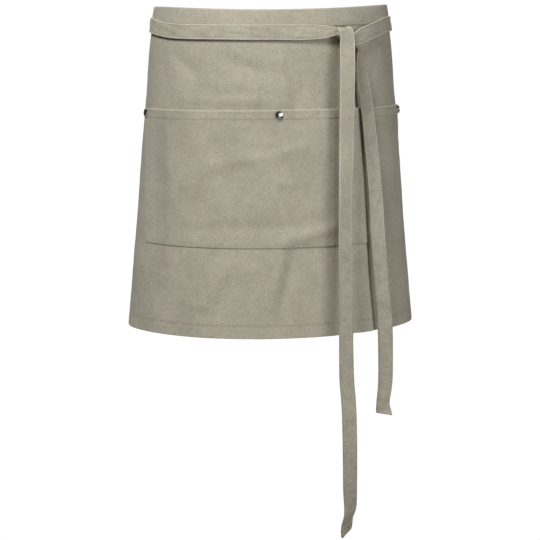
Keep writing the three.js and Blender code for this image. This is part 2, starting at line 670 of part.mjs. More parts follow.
addPiece('apron_panel', drillForRivets(panelGeometry()), canvas);
addPiece('waistband', waistbandGeometry(), canvas);
addPiece('pocket', drillForRivets(pocketGeometry()), canvas);
for (const { name, across } of RIVET_PLACES) {
  const { base, turn } = rivetFrame(across);
  const rivet = addPiece(name, mergeVertices(bare(rivetGeometry())), nickel);
  rivet.position.copy(base);
  rivet.quaternion.copy(turn);
}
addPiece('tie_left', tieGeometry([
  ...roundStations(LEFT_ROUND, -1, LEFT_ROUND_END),
  ...knotStations(LEFT_KNOT),
  ...shortTailStations(),
]), canvas);
addPiece('tie_right', tieGeometry([
  ...roundStations(RIGHT_ROUND, 1, RIGHT_ROUND_END),
  ...knotStations(RIGHT_KNOT),
  ...longTailStations(),
]), canvas);

export default apron;
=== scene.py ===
import math

import bpy
import numpy as np
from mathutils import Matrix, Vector


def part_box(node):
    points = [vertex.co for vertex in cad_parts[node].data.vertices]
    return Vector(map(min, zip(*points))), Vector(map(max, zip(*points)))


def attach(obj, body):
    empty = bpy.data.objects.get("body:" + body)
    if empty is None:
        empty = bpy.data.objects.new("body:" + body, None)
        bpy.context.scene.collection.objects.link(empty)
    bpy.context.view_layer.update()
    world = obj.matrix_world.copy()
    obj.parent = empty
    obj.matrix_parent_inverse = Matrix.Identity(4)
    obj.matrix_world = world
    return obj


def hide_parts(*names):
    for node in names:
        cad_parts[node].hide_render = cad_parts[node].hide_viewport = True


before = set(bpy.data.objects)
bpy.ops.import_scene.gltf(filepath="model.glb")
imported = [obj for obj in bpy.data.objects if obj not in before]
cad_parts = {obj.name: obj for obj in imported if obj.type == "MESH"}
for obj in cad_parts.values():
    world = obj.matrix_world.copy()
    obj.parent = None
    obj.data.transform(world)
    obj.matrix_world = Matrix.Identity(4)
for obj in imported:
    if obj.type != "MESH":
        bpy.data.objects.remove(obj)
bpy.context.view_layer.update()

bl_info = {
    "name": "Waist Apron",
    "version": (1, 0, 0),
    "blender": (4, 5, 0),
    "location": "3D View > Sidebar > Apron",
    "description": "Builds a canvas waist apron with a divided pocket and straps tied at the front",
    "category": "Object",
}

MM = 0.001
BODY = "root"


def linear(code):
    """An sRGB hex colour as linear red, green and blue."""
    parts = [int(code[i:i + 2], 16) / 255 for i in (0, 2, 4)]
    return tuple(p / 12.92 if p <= 0.04045 else ((p + 0.055) / 1.055) ** 2.4 for p in parts)


def length(name, description, millimetres):
    """A size in metres that a user may change, given in millimetres."""
    return bpy.props.FloatProperty(
        name=name, description=description, default=millimetres * MM, min=0, unit="LENGTH", precision=4)


def colour(name, description, code):
    """A colour that a user may change."""
    return bpy.props.FloatVectorProperty(
        name=name, description=description, default=linear(code), subtype="COLOR", size=3, min=0, max=1)


class ApronSizes(bpy.types.PropertyGroup):
    """Sizes of the apron, as it is cut and worn"""

    cloth_width: length("Cloth Width", "Width of the panel, measured along the cloth", 820)
    apron_length: length("Apron Length", "From the top of the band to the bottom hem", 454)
    cloth_thickness: length("Cloth Thickness", "One layer of canvas", 1.2)
    bottom_hem: length("Bottom Hem", "Height of the hem along the bottom", 19)
    side_hem: length("Side Hem", "Width of the hems at the two back edges", 14)
    waist_half_width: length("Waist Half Width", "Half of the worn waist from side to side", 164)
    waist_half_depth: length("Waist Half Depth", "Half of the worn waist from front to back", 128)
    band_height: length("Band Height", "Height of the strip folded over the top edge", 24)
    pocket_half_width: length("Pocket Half Width", "From the middle seam to a side seam", 224)
    pocket_taper: length("Pocket Taper", "How far each side seam leans in towards the bottom", 17)
    pocket_drop: length("Pocket Drop", "From the top edge of the apron to the pocket's mouth", 136.5)
    pocket_height: length("Pocket Height", "From the mouth to the bottom seam", 190)
    pocket_hem: length("Pocket Hem", "Height of the hem round the mouth", 11.4)
    pocket_fullness: length("Pocket Fullness", "How far each half of the pocket stands off", 2.4)
    strap_width: length("Strap Width", "Width of the ties", 20.4)
    strap_thickness: length("Strap Thickness", "Thickness of the ties", 2)
    long_tail: length("Long Tail", "From the knot to the end of the long tail", 703)
    short_tail: length("Short Tail", "From the knot to the end of the short tail", 540)
    rivet_radius: length("Rivet Radius", "Radius of a rivet's cap", 5.6)
    rivet_height: length("Rivet Height", "Height of a rivet's cap over the cloth", 2.6)
    stitch_pitch: length("Stitch Pitch", "From one stitch to the next", 3.4)
    stitch_length: length("Stitch Length", "Length of thread that shows", 2.5)
    thread_width: length("Thread Width", "Width of the sewing thread", 0.62)


class ApronColours(bpy.types.PropertyGroup):
    """Colours of the apron's cloth, thread and metal"""

    canvas: colour("Canvas", "Grey beige cotton canvas of the panel and pocket", "ABA594")
    strap: colour("Strap", "Cotton canvas of the band and ties", "AEA897")
    thread: colour("Thread", "Sewing thread", "C6C0AD")
    metal: colour("Metal", "Nickel plating of the rivets", "CFCDC8")
    floor: colour("Floor", "Studio floor", "F2F1EE")


def sizes():
    return bpy.context.scene.apron_sizes


def colours():
    return bpy.context.scene.apron_colours


# The worn form. Each row: share of the length down, then shares of the waist's half width and half
# depth, and of the rise of the top edge at the sides.
SIDE_RISE = 7 * MM
RIGHT_RISE = 1.8 * MM
FORM = (
    (0.00, 1.000, 1.000, 1.00),
    (0.13, 1.055, 1.016, 0.64),
    (0.24, 1.078, 1.023, 0.21),
    (0.33, 1.104, 1.023, 0.04),
    (0.51, 1.144, 1.023, 0.14),
    (0.73, 1.196, 1.016, 0.33),
    (1.00, 1.262, 1.000, 0.61),
)

# Soft folds. Each row: place across and down, half width and half length, lean, and height, in
# shares of half the cloth's width, of its length and of the fold's own height.
FOLD_HEIGHT = 3 * MM
FOLDS_BEGIN = 49 * MM
FOLDS_FULL = 78 * MM
FOLDS = (
    (0.012, 0.24, 0.028, 0.070, 0.01, 0.50),
    (0.062, 0.22, 0.030, 0.090, 0.01, -0.60),
    (-0.290, 0.16, 0.060, 0.050, 0.05, -0.55),
    (-0.036, 0.84, 0.034, 0.125, -0.03, 0.90),
    (0.034, 0.82, 0.034, 0.125, -0.03, -1.00),
    (-0.440, 0.55, 0.070, 0.200, 0.00, -0.90),
    (0.360, 0.88, 0.080, 0.200, 0.03, -0.90),
    (-0.250, 0.90, 0.100, 0.160, -0.04, 0.80),
    (-0.770, 0.95, 0.065, 0.350, 0.02, 2.20),
    (-0.910, 0.95, 0.065, 0.400, 0.02, -1.60),
    (0.770, 0.95, 0.065, 0.350, -0.02, 2.40),
    (0.910, 0.95, 0.065, 0.400, -0.02, -1.70),
    (0.264, 0.50, 0.038, 0.800, 0.00, -1.40),
)

# Smaller creases. Each row, in millimetres: place across and down, half length, half width, degrees
# that the crease turns clockwise from level, and height.
CREASES = (
    (-129, 82, 28, 8, 38, -2.0), (-143, 105, 26, 11, 70, 1.5), (-48, 76, 34, 8, 18, -2.3),
    (-58, 101, 36, 10, 0, 1.7), (-31, 118, 19, 7, 85, 3.9), (3, 71, 16, 6, 90, 2.4),
    (10, 112, 28, 7, 80, 2.9), (-60, 124, 60, 6, 0, 1.5), (-140, 150, 40, 16, 90, 0.8),
    (-48, 204, 46, 9, -7, 2.0), (-94, 217, 32, 11, -38, 1.4), (22, 191, 20, 8, -9, 1.8),
    (10, 237, 20, 8, 1, 1.6), (-60, 299, 95, 9, -2, -1.5), (44, 309, 40, 10, -13, 3.6),
    (-112, 228, 40, 15, -55, 1.2), (-80, 368, 36, 9, 122, 2.8), (-38, 354, 16, 6, 150, 1.1),
    (-118, 408, 26, 6, 11, 1.2), (-160, 234, 120, 12, 91, 1.9), (-186, 229, 90, 13, 90, -1.8),
    (0, 372, 56, 9, 101, 3.0), (16, 368, 53, 10, 101, -2.0), (66, 200, 120, 14, 90, 0.9),
    (98, 250, 240, 12.5, 90, -5.0), (134.6, 278, 260, 4, 84.9, -6.5),
)

# The cloth needs finer columns here, across, for the sharp crease beside the short tail
CREASED = (112 * MM, 166 * MM)

# Unevenness of handled cloth. Each row: height and two lengths in millimetres, how far the pattern
# leans across and down, and its seed. The random heights repeat after a lattice.
UNEVEN = ((0.50, 40, 50, 0, 0, 11), (0.22, 20, 17, 0.4, -0.3, 13), (0.12, 11, 12, 0, 0, 12))
LATTICE = 64

# Plies of cloth lie this far apart
PLY_GAP = 0.4 * MM
POCKET_CLEARANCE = 0.25 * MM
BAND_LEAF = 1.0 * MM
RIM_STEPS = 3
RIM_BULGE = 0.6
ARC_STEPS = 120
SLOPE_REACH = 0.5 * MM
SURFACE_REACH = 1.0 * MM


def read(table, k, at):
    """Column k of a table, read smoothly at places between its rows."""
    rows = np.array(table, float)
    place, value = rows[:, 0], rows[:, k]
    slope = np.gradient(value, place)
    slope[1:-1] = (value[2:] - value[:-2]) / (place[2:] - place[:-2])
    at = np.clip(at, place[0], place[-1])
    i = np.clip(np.searchsorted(place, at, side="right") - 1, 0, len(place) - 2)
    span = place[i + 1] - place[i]
    t = (at - place[i]) / span
    smooth = value[i] + (value[i + 1] - value[i]) * t * t * (3 - 2 * t)
    return smooth + span * t * (1 - t) * ((1 - t) * slope[i] - t * slope[i + 1])


def unit(vectors):
    return vectors / np.linalg.norm(vectors, axis=-1, keepdims=True)


def smoothstep(value, low, high):
    t = np.clip((value - low) / (high - low), 0, 1)
    return t * t * (3 - 2 * t)


def bell(value, wide):
    return np.exp(-(value / wide) ** 2)


def lines(off, *rows):
    """Soft lines beside an edge. Each row: distance and half width in millimetres, and strength."""
    return sum(strong * bell(off - place * MM, wide * MM) for place, wide, strong in rows)


def form_at(drop):
    s, at = sizes(), drop / sizes().apron_length
    return (s.waist_half_width * read(FORM, 1, at), s.waist_half_depth * read(FORM, 2, at),
            SIDE_RISE * read(FORM, 3, at))


def outward(turn, drop):
    wide, deep, _ = form_at(drop)
    return unit(np.stack([np.sin(turn) / wide, -np.cos(turn) / deep, 0 * turn], -1))


def on_form(turn, drop, lift):
    """A point at a turn round the worn form from the front, a drop below the top edge and a lift."""
    turn, drop, lift = np.broadcast_arrays(*(np.asarray(x, float) for x in (turn, drop, lift)))
    wide, deep, rise = form_at(drop)
    sine = np.sin(turn)
    height = rise * sine * sine + RIGHT_RISE * sine - drop
    place = np.stack([wide * sine, -deep * np.cos(turn), height], -1)
    return place + outward(turn, drop) * lift[..., None]


def face_of(turn, drop):
    """The way straight out of the form's own slope."""
    reach = SLOPE_REACH / sizes().waist_half_width
    down = on_form(turn, drop + SLOPE_REACH, 0) - on_form(turn, drop - SLOPE_REACH, 0)
    along = on_form(turn + reach, drop, 0) - on_form(turn - reach, drop, 0)
    return unit(np.cross(down, along))


def turn_at(across, drop):
    """The turn round the form that a length of cloth from the front reaches."""
    across, drop = np.broadcast_arrays(np.asarray(across, float), np.asarray(drop, float))
    levels, which = np.unique(drop, return_inverse=True)
    which = which.reshape(drop.shape)
    wide, deep, _ = form_at(levels)
    step = math.pi / ARC_STEPS
    middles = (np.arange(ARC_STEPS) + 0.5) * step
    pieces = step * np.hypot(wide[:, None] * np.cos(middles), deep[:, None] * np.sin(middles))
    lengths = np.concatenate([np.zeros((len(levels), 1)), np.cumsum(pieces, axis=1)], axis=1)
    turns = np.arange(ARC_STEPS + 1) * step
    result = np.empty(drop.shape)
    for k in range(len(levels)):
        here = which == k
        result[here] = np.interp(np.abs(across[here]), lengths[k], turns)
    return np.sign(across) * result


def noise(u, v, seed):
    """Smooth random heights from -1 to 1, with one hill or dip to a unit."""
    lattice = np.random.default_rng(seed).uniform(-1, 1, (LATTICE, LATTICE))
    i, j = np.floor(u).astype(int), np.floor(v).astype(int)
    a, b = u - i, v - j
    a, b = a * a * (3 - 2 * a), b * b * (3 - 2 * b)
    i, j, right, up = (k % LATTICE for k in (i, j, i + 1, j + 1))
    low = lattice[i, j] * (1 - a) + lattice[right, j] * a
    high = lattice[i, up] * (1 - a) + lattice[right, up] * a
    return low * (1 - b) + high * b


def crease_at(across, drop):
    height = 0.0
    for place, down, long, wide, turned, high in CREASES:
        aside, below = across - place * MM, drop - down * MM
        cosine, sine = math.cos(math.radians(turned)), math.sin(math.radians(turned))
        lengthwise = (aside * cosine + below * sine) / (long * MM)
        sideways = (below * cosine - aside * sine) / (wide * MM)
        height = height + high * MM * np.exp(-lengthwise ** 2 - sideways ** 2)
    return height


def fold_at(across, drop):
    """Height of the folds and of the cloth's own unevenness over the form."""
    s = sizes()
    height = np.zeros(np.broadcast(across, drop).shape)
    for place, down, wide, long, lean, high in FOLDS:
        below = drop / s.apron_length - down
        side = across / (s.cloth_width / 2) - place - lean * below / long
        height += high * np.exp(-(side / wide) ** 2 - (below / long) ** 2)
    height *= FOLD_HEIGHT * smoothstep(drop, FOLDS_BEGIN, FOLDS_FULL)
    small = crease_at(across, drop)
    for high, wide, long, lean, slant, seed in UNEVEN:
        aside, below = across + lean * drop, drop + slant * across
        small = small + high * MM * noise(aside / (wide * MM), below / (long * MM), seed)
    return height + smoothstep(drop, s.band_height, FOLDS_FULL) * small


def on_cloth(across, drop, lift):
    return on_form(turn_at(across, drop), drop, lift + fold_at(across, drop))


def leaning(across, drop):
    """Moves columns of cloth so that they follow the pocket's sides."""
    s = sizes()
    half = s.cloth_width / 2
    lean = s.pocket_taper * np.clip((drop - s.pocket_drop) / s.pocket_height, 0, 1)
    off = np.abs(across)
    outside = (half - off) / (half - s.pocket_half_width)
    share = np.where(off <= s.pocket_half_width, off / s.pocket_half_width, outside)
    return across - np.sign(across) * lean * share


def spread(marks, steps):
    """Numbers from mark to mark, each stretch with its own spacing in millimetres."""
    values = [np.linspace(a, b, max(2, round((b - a) / (step * MM)) + 1))
              for a, b, step in zip(marks, marks[1:], steps)]
    return np.unique(np.round(np.concatenate(values), 7))


def linked(name, data):
    """A new object in the scene."""
    made = bpy.data.objects.new(name, data)
    bpy.context.scene.collection.objects.link(made)
    return made


def canvas_piece(name, points, faces, uv, wear, kind="canvas"):
    """A smooth closed piece that rides on the apron's body, with its weave laid out in metres. Its
    per-point values are above 0 where the cloth is pale, partly from wear and partly as a painted
    highlight along edges, and below 0 where painted shade darkens grooves and deep places."""
    mesh = bpy.data.meshes.new(name)
    mesh.from_pydata(points.reshape(-1, 3).tolist(), [], faces)
    mesh.polygons.foreach_set("use_smooth", [len(face) == 4 for face in faces])
    corners = np.empty(len(mesh.loops), np.int32)
    mesh.loops.foreach_get("vertex_index", corners)
    laid, wear_and_painted_light_values = uv.reshape(-1, 2).astype(np.float32), wear.ravel().astype(np.float32)
    mesh.uv_layers.new(name="weave").data.foreach_set("uv", laid[corners].ravel())
    # Per-point values of wear and painted light: pale edges partly worn and partly painted highlight, dark
    # grooves painted shade
    mesh.attributes.new("wear", "FLOAT", "POINT").data.foreach_set("value", wear_and_painted_light_values)
    mesh.materials.append(canvas_material(kind))
    piece = linked(name, mesh)
    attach(piece, BODY)
    return piece


def near(piece, node, reach):
    """Stops the build if a piece doesn't lie where the node that it stands for is."""
    low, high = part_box(node)
    places = np.array([v.co for v in piece.data.vertices])
    for found, wanted in ((places.min(0), low), (places.max(0), high)):
        if np.abs(found - np.array(wanted)).max() > reach:
            raise RuntimeError(f"{piece.name} ends at {found}, and {node} at {tuple(wanted)}")


def tube(rings):
    """Faces round a row of rings, with one face to close each end."""
    at = np.arange(rings.shape[0] * rings.shape[1]).reshape(rings.shape[:2])
    on = np.roll(at, -1, axis=1)
    sides = np.stack([at[:-1], on[:-1], on[1:], at[1:]], -1).reshape(-1, 4)
    return [*sides.tolist(), at[0][::-1].tolist(), at[-1].tolist()]


def wall(outer, inner, uv, wear):
    """A closed sheet between two grids of points, with a rounded rim, its weave and its per-point values of
    wear and painted light.
    """
    rows, columns = outer.shape[:2]
    at = np.arange(rows * columns).reshape(rows, columns)
    quads = np.stack([at[:-1, :-1], at[1:, :-1], at[1:, 1:], at[:-1, 1:]], -1).reshape(-1, 4)
    half = rows * columns
    loop = np.concatenate([at[:-1, 0], at[-1, :-1], at[:0:-1, -1], at[0, :0:-1]])
    within = np.concatenate([at[:-1, 1], at[-2, :-1], at[:0:-1, -2], at[1, :0:-1]])
    front, back = outer.reshape(-1, 3), inner.reshape(-1, 3)
    out = unit(front[loop] - front[within])
    half_way = (front[loop] - back[loop]) / 2
    thick = np.linalg.norm(half_way, axis=1, keepdims=True)
    middle = (front[loop] + back[loop]) / 2
    rim, first = [], [loop]
    for k in range(1, RIM_STEPS + 1):
        turn = math.pi * k / (RIM_STEPS + 1)
        rim.append(middle + half_way * math.cos(turn) + out * thick * RIM_BULGE * math.sin(turn))
        first.append(2 * half + (k - 1) * len(loop) + np.arange(len(loop)))
    first.append(loop + half)
    faces = [quads, quads[:, ::-1] + half]
    for a, b in zip(first[:-1], first[1:]):
        faces.append(np.stack([np.roll(a, -1), a, b, np.roll(b, -1)], -1))
    flat, wear_and_painted_light_values = uv.reshape(-1, 2), wear.ravel()
    return (np.concatenate([front, back, *rim]), np.concatenate(faces).tolist(),
            np.concatenate([flat, flat, *[flat[loop]] * RIM_STEPS]),
            np.concatenate([wear_and_painted_light_values, 0 * wear_and_painted_light_values, *[wear_and_painted_light_values[loop]] * RIM_STEPS]))


def face_levels():
    """Lifts of the outer faces of the panel, band and pocket seam off the form."""
    s = sizes()
    cloth = s.cloth_thickness
    return cloth, cloth + PLY_GAP + BAND_LEAF, cloth + PLY_GAP + cloth


# Seams gather here as they are sewn, and are stitched at the end
SEAMS = {"cloth": [], "ties": []}


def sew(group, points, out):
    """Keeps a line of stitches: its points and the way out of the cloth at each."""
    SEAMS[group].append((np.asarray(points, float), unit(np.asarray(out, float))))


def surface_out(place, across, drop):
    """The way out of a surface that place(across, drop) gives."""
    reach = SURFACE_REACH
    down = place(across, drop + reach) - place(across, drop - reach)
    along = place(across + reach, drop) - place(across - reach, drop)
    return unit(np.cross(down, along))


def sew_on(group, place, across, drop, inside=False):
    across, drop = np.broadcast_arrays(np.asarray(across, float), np.asarray(drop, float))
    out = surface_out(place, across, drop)
    sew(group, place(across, drop), -out if inside else out)


HEM_STITCH_INSET = 2.0 * MM
SEAM_STEP = 2.0 * MM

# The bottom hem is ropy where it was sewn: height, spacing, lean and unevenness of its puckers, and
# where they fade away above its edge
ROPE_HEIGHT, ROPE_PITCH, ROPE_LEAN = 0.16 * MM, 10.5 * MM, 0.5
ROPE_UNEVEN, ROPE_LENGTH, ROPE_SEED = 2.2, 30 * MM, 21
ROPE_FADE = (-2 * MM, 5 * MM)

# Grooves that the hems' stitches pull: depth at the bottom and at the back edges, and half width
BOTTOM_GROOVE, BACK_GROOVE, GROOVE_WIDE = 0.32 * MM, 0.25 * MM, 1.6 * MM
HEM_STEP = 0.6 * MM
BAND_SHADOW = 1.5 * MM

# Spacing of the panel's points across and down, in millimetres, fine at hems and creases
PANEL_COLUMNS = (2, 0.6, 3.6, 1.1, 3.6, 0.6, 2)
PANEL_ROWS = (6, 4, 1.2, 0.7, 2.2)
HEM_REACH = 2 * MM


def panel_lift(across, drop):
    """Outer face of the panel: puckers of the sewn hem, and the line where it was sewn down."""
    s = sizes()
    up, side = s.apron_length - drop, s.cloth_width / 2 - np.abs(across)
    hem = 1 - smoothstep(up, *(s.bottom_hem + reach for reach in ROPE_FADE))
    shift = ROPE_UNEVEN * noise(across / ROPE_LENGTH, up / ROPE_LENGTH, ROPE_SEED)
    rope = np.sin(2 * math.pi * (across + ROPE_LEAN * up) / ROPE_PITCH + shift)
    return (ROPE_HEIGHT * hem * rope
            - BOTTOM_GROOVE * bell(up - s.bottom_hem + HEM_STITCH_INSET, GROOVE_WIDE)
            - BACK_GROOVE * bell(side - s.side_hem + HEM_STITCH_INSET, GROOVE_WIDE))


def on_panel(across, drop):
    lean = leaning(across, drop)
    return on_cloth(lean, drop, sizes().cloth_thickness + panel_lift(across, drop))


def in_panel(across, drop):
    s = sizes()
    up, side = s.apron_length - drop, s.cloth_width / 2 - np.abs(across)
    bottom, back = (1 - smoothstep(off, hem - HEM_STEP, hem + HEM_STEP)
                    for off, hem in ((up, s.bottom_hem), (side, s.side_hem)))
    hem = np.maximum(bottom, back * smoothstep(drop, s.band_height, s.band_height + BAND_SHADOW))
    lift = -s.cloth_thickness * hem + 0.5 * panel_lift(across, drop) * hem
    return on_cloth(leaning(across, drop), drop, lift)


class APRON_OT_panel(bpy.types.Operator):
    """Makes the canvas panel that wraps the waist, hemmed at the bottom and at the two back edges"""

    bl_idname = "apron.panel"
    bl_label = "Panel"

    def execute(self, context):
        s = sizes()
        half, top = s.cloth_width / 2, PLY_GAP + BAND_LEAF
        hem, hem_top = half - s.side_hem, s.apron_length - s.bottom_hem
        columns = spread((-half, -hem - HEM_REACH, -hem + HEM_REACH, *CREASED,
                          hem - HEM_REACH, hem + HEM_REACH, half), PANEL_COLUMNS)
        rows = spread((top, s.band_height, hem_top - 6 * MM, hem_top - 1 * MM, hem_top + 5 * MM,
                       s.apron_length), PANEL_ROWS)
        across, drop = np.meshgrid(columns, rows)
        uv = np.stack([leaning(across, drop), -drop], -1)
        up, side = s.apron_length - drop, half - np.abs(across)
        # Pale bottom and back edges, partly wear and partly painted highlight, and painted shade along the
        # hems' stitch grooves
        wear = (lines(up, (0, 1.6, 0.5)) + lines(side, (0, 1.6, 0.5))
                + lines(up - s.bottom_hem + HEM_STITCH_INSET, (0, 1.5, -0.45))
                + lines(side - s.side_hem + HEM_STITCH_INSET, (0, 1.5, -0.45)))
        piece = canvas_piece("apron_cloth", *wall(on_panel(across, drop), in_panel(across, drop), uv, wear))
        near(piece, "apron_panel", 4 * MM)
        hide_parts("apron_panel")
        line = np.arange(-half + 4 * MM, half - 4 * MM, SEAM_STEP)
        down = np.arange(s.band_height + 4 * MM, s.apron_length - 3 * MM, SEAM_STEP)
        seam = hem + HEM_STITCH_INSET
        for at, low in ((line, hem_top + HEM_STITCH_INSET), (-seam, down), (seam, down)):
            sew_on("cloth", on_panel, at, low)
            sew_on("cloth", in_panel, at, low, inside=True)
        return {"FINISHED"}


# The band's section: points round its fold, where its lower edge is sewn, how far it puffs above
# that, and how it is rounded at its lower edge
BAND_FOLD = 1.5 * MM
BAND_FOLD_STEPS = 12
BAND_FACE_STEPS = 22
BAND_STITCH_INSET = 2.4 * MM
BAND_PUFF = 0.30 * MM
BAND_GROOVE_WIDE = 1.1 * MM
BAND_FOOT = 0.4 * MM

# Ripples along the band. Each row: height and length in millimetres, and seed.
BAND_RIPPLES = ((0.12, 8, 31), (0.15, 30, 32))


def band_outline():
    """The strip folded over the top edge, as (lift, drop) points round its section."""
    low = sizes().band_height
    _, face, _ = face_levels()
    inner = -PLY_GAP - BAND_LEAF
    middle, reach = (face + inner) / 2, (face - inner) / 2
    turns = [math.pi * k / BAND_FOLD_STEPS for k in range(BAND_FOLD_STEPS + 1)]
    over = [(middle - reach * math.cos(turn), BAND_FOLD * (1 - math.sin(turn))) for turn in turns]
    outside = []
    for k in range(1, BAND_FACE_STEPS + 1):
        drop = BAND_FOLD + (low - BAND_FOLD - BAND_FOOT) * k / BAND_FACE_STEPS
        puff = math.sin(math.pi * min(1, drop / (low - BAND_STITCH_INSET)))
        groove = math.exp(-((drop - low + BAND_STITCH_INSET) / BAND_GROOVE_WIDE) ** 2)
        outside.append((BAND_PUFF * (puff - groove), drop))
    leaf, shallow, deep = face - BAND_LEAF, BAND_LEAF + 0.4 * MM, low - 0.5 * MM
    return [*over, *((face + lift, drop) for lift, drop in outside),
            (face - 0.15 * MM, low), (leaf + 0.1 * MM, low), (leaf, deep), (leaf, shallow),
            (-PLY_GAP, shallow), (-PLY_GAP, deep), (-PLY_GAP - 0.1 * MM, low), (inner + 0.15 * MM, low),
            *((inner - lift, drop) for lift, drop in reversed(outside))]


def on_band(across, drop, lift=0.0):
    _, face, _ = face_levels()
    return on_form(turn_at(across, sizes().band_height), drop, face + lift)


class APRON_OT_waistband(bpy.types.Operator):
    """Makes the strip of canvas that binds the top edge of the panel"""

    bl_idname = "apron.waistband"
    bl_label = "Waistband"

    def execute(self, context):
        s = sizes()
        half = s.cloth_width / 2
        columns = spread((-half, half), (3,))
        turn = turn_at(columns, s.band_height)
        ripple = sum(high * MM * noise(columns / (long * MM), 0 * columns, seed)
                     for high, long, seed in BAND_RIPPLES)
        outline = np.array(band_outline())
        round_length = np.concatenate([[0], np.cumsum(np.hypot(*np.diff(outline, axis=0).T))])
        points, uv = [], []
        for (lift, drop), length_round in zip(outline, round_length):
            sway = ripple * (1 if lift > 0 else -1) * (0.4 if drop < 2 * MM else 1)
            points.append(on_form(turn, drop + 0.25 * ripple, lift + sway))
            uv.append(np.stack([columns, 0 * columns - length_round], -1))
        points, uv = np.stack(points, 1), np.stack(uv, 1)
        up = s.band_height - np.broadcast_to(outline[None, :, 1], points.shape[:2])
        # Pale lower edge and top fold, partly wear and partly painted highlight, and painted shade along
        # the stitch groove above the lower edge
        wear = lines(up, (0, 1.2, 0.35), (BAND_STITCH_INSET / MM, 1.2, -0.45),
                     (s.band_height / MM, 1.5, 0.35))
        piece = canvas_piece("waistband_cloth", points, tube(points), uv, wear, "strap")
        near(piece, "waistband", 3 * MM)
        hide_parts("waistband")
        line = np.arange(-half + 3 * MM, half - 3 * MM, SEAM_STEP)
        low = s.band_height - BAND_STITCH_INSET
        sew_on("cloth", on_band, line, low)
        _, face, _ = face_levels()

        def band_inside(across, drop):
            return on_band(across, drop, -PLY_GAP - BAND_LEAF - face)

        sew_on("cloth", band_inside, line, low, inside=True)
        return {"FINISHED"}


# Pocket. Rows of stitching in the hem are at these drops below the mouth; the side seams are sewn
# twice, and the bottom and the middle once.
HEM_ROWS = (6.6 * MM, 10.2 * MM)
SIDE_ROWS = (3.0 * MM, 8.0 * MM)
BOTTOM_ROW = 3.0 * MM

# The hem's lower edge beside its height, and how far down the pocket the thicker part fades
POCKET_STEP = (-1.0 * MM, 2.2 * MM)
POCKET_FADE = 47 * MM

# Puckers of the hem and of the sides: height, two lengths, seed, and where they fade away
HEM_PUCKER = (0.14 * MM, 5.5 * MM, 9 * MM, 41)
HEM_PUCKER_FADE = (-1 * MM, 5 * MM)
SIDE_PUCKER = (0.15 * MM, 6 * MM, 8 * MM, 42)
SIDE_PUCKER_FADE = (6 * MM, 14 * MM)

# Spacing of the pocket's points across and down, in millimetres, and how far the fine ones reach
POCKET_COLUMNS = (0.8, 2.6, 0.8, 2.6, 1.1, 2.6, 0.8)
POCKET_ROWS = (0.6, 3, 0.7)
SIDE_REACH, MIDDLE_REACH, MOUTH_REACH, BOTTOM_REACH = 11 * MM, 4 * MM, 14 * MM, 6 * MM


def puckered(along, away, pucker):
    """Small uneven gathers along a seam."""
    high, long, wide, seed = pucker
    return high * noise(along / long, away / wide, seed)


def pocket_lift(across, drop):
    s = sizes()
    _, _, seam = face_levels()
    below = drop - s.pocket_drop
    side, up = s.pocket_half_width - np.abs(across), s.pocket_height - below
    full = (np.sin(math.pi * across / s.pocket_half_width) ** 2
            * np.cos(math.pi / 2 * below / s.pocket_height))
    step = 1 - smoothstep(below, *(s.pocket_hem + reach for reach in POCKET_STEP))
    fade = 1 - smoothstep(below, s.pocket_hem, POCKET_FADE)
    hem = 1 - smoothstep(below, *(s.pocket_hem + reach for reach in HEM_PUCKER_FADE))
    lift = seam + s.cloth_thickness * (0.5 * step + 0.5 * fade) + s.pocket_fullness * full
    lift += hem * puckered(across, below, HEM_PUCKER)
    lift += (1 - smoothstep(side, *SIDE_PUCKER_FADE)) * puckered(below, side, SIDE_PUCKER)
    for row in HEM_ROWS:
        lift -= 0.12 * MM * bell(below - row, 0.9 * MM)
    for row in SIDE_ROWS:
        lift -= 0.25 * MM * bell(side - row, 1.0 * MM)
    lift -= 0.24 * MM * bell(across, 1.2 * MM) * smoothstep(below, 0, s.pocket_hem)
    return lift - 0.25 * MM * bell(up - BOTTOM_ROW, 1.0 * MM) - 0.45 * MM * bell(up, 1.6 * MM)


def on_pocket(across, drop):
    return on_cloth(leaning(across, drop), drop, pocket_lift(across, drop))


def in_pocket(across, drop):
    s = sizes()
    below = drop - s.pocket_drop
    hem = 1 - smoothstep(below, s.pocket_hem - HEM_STEP, s.pocket_hem + HEM_STEP)
    floor = s.cloth_thickness + POCKET_CLEARANCE
    lift = pocket_lift(across, drop) - s.cloth_thickness * (1 + 0.9 * hem)
    return on_cloth(leaning(across, drop), drop, np.maximum(lift, floor))


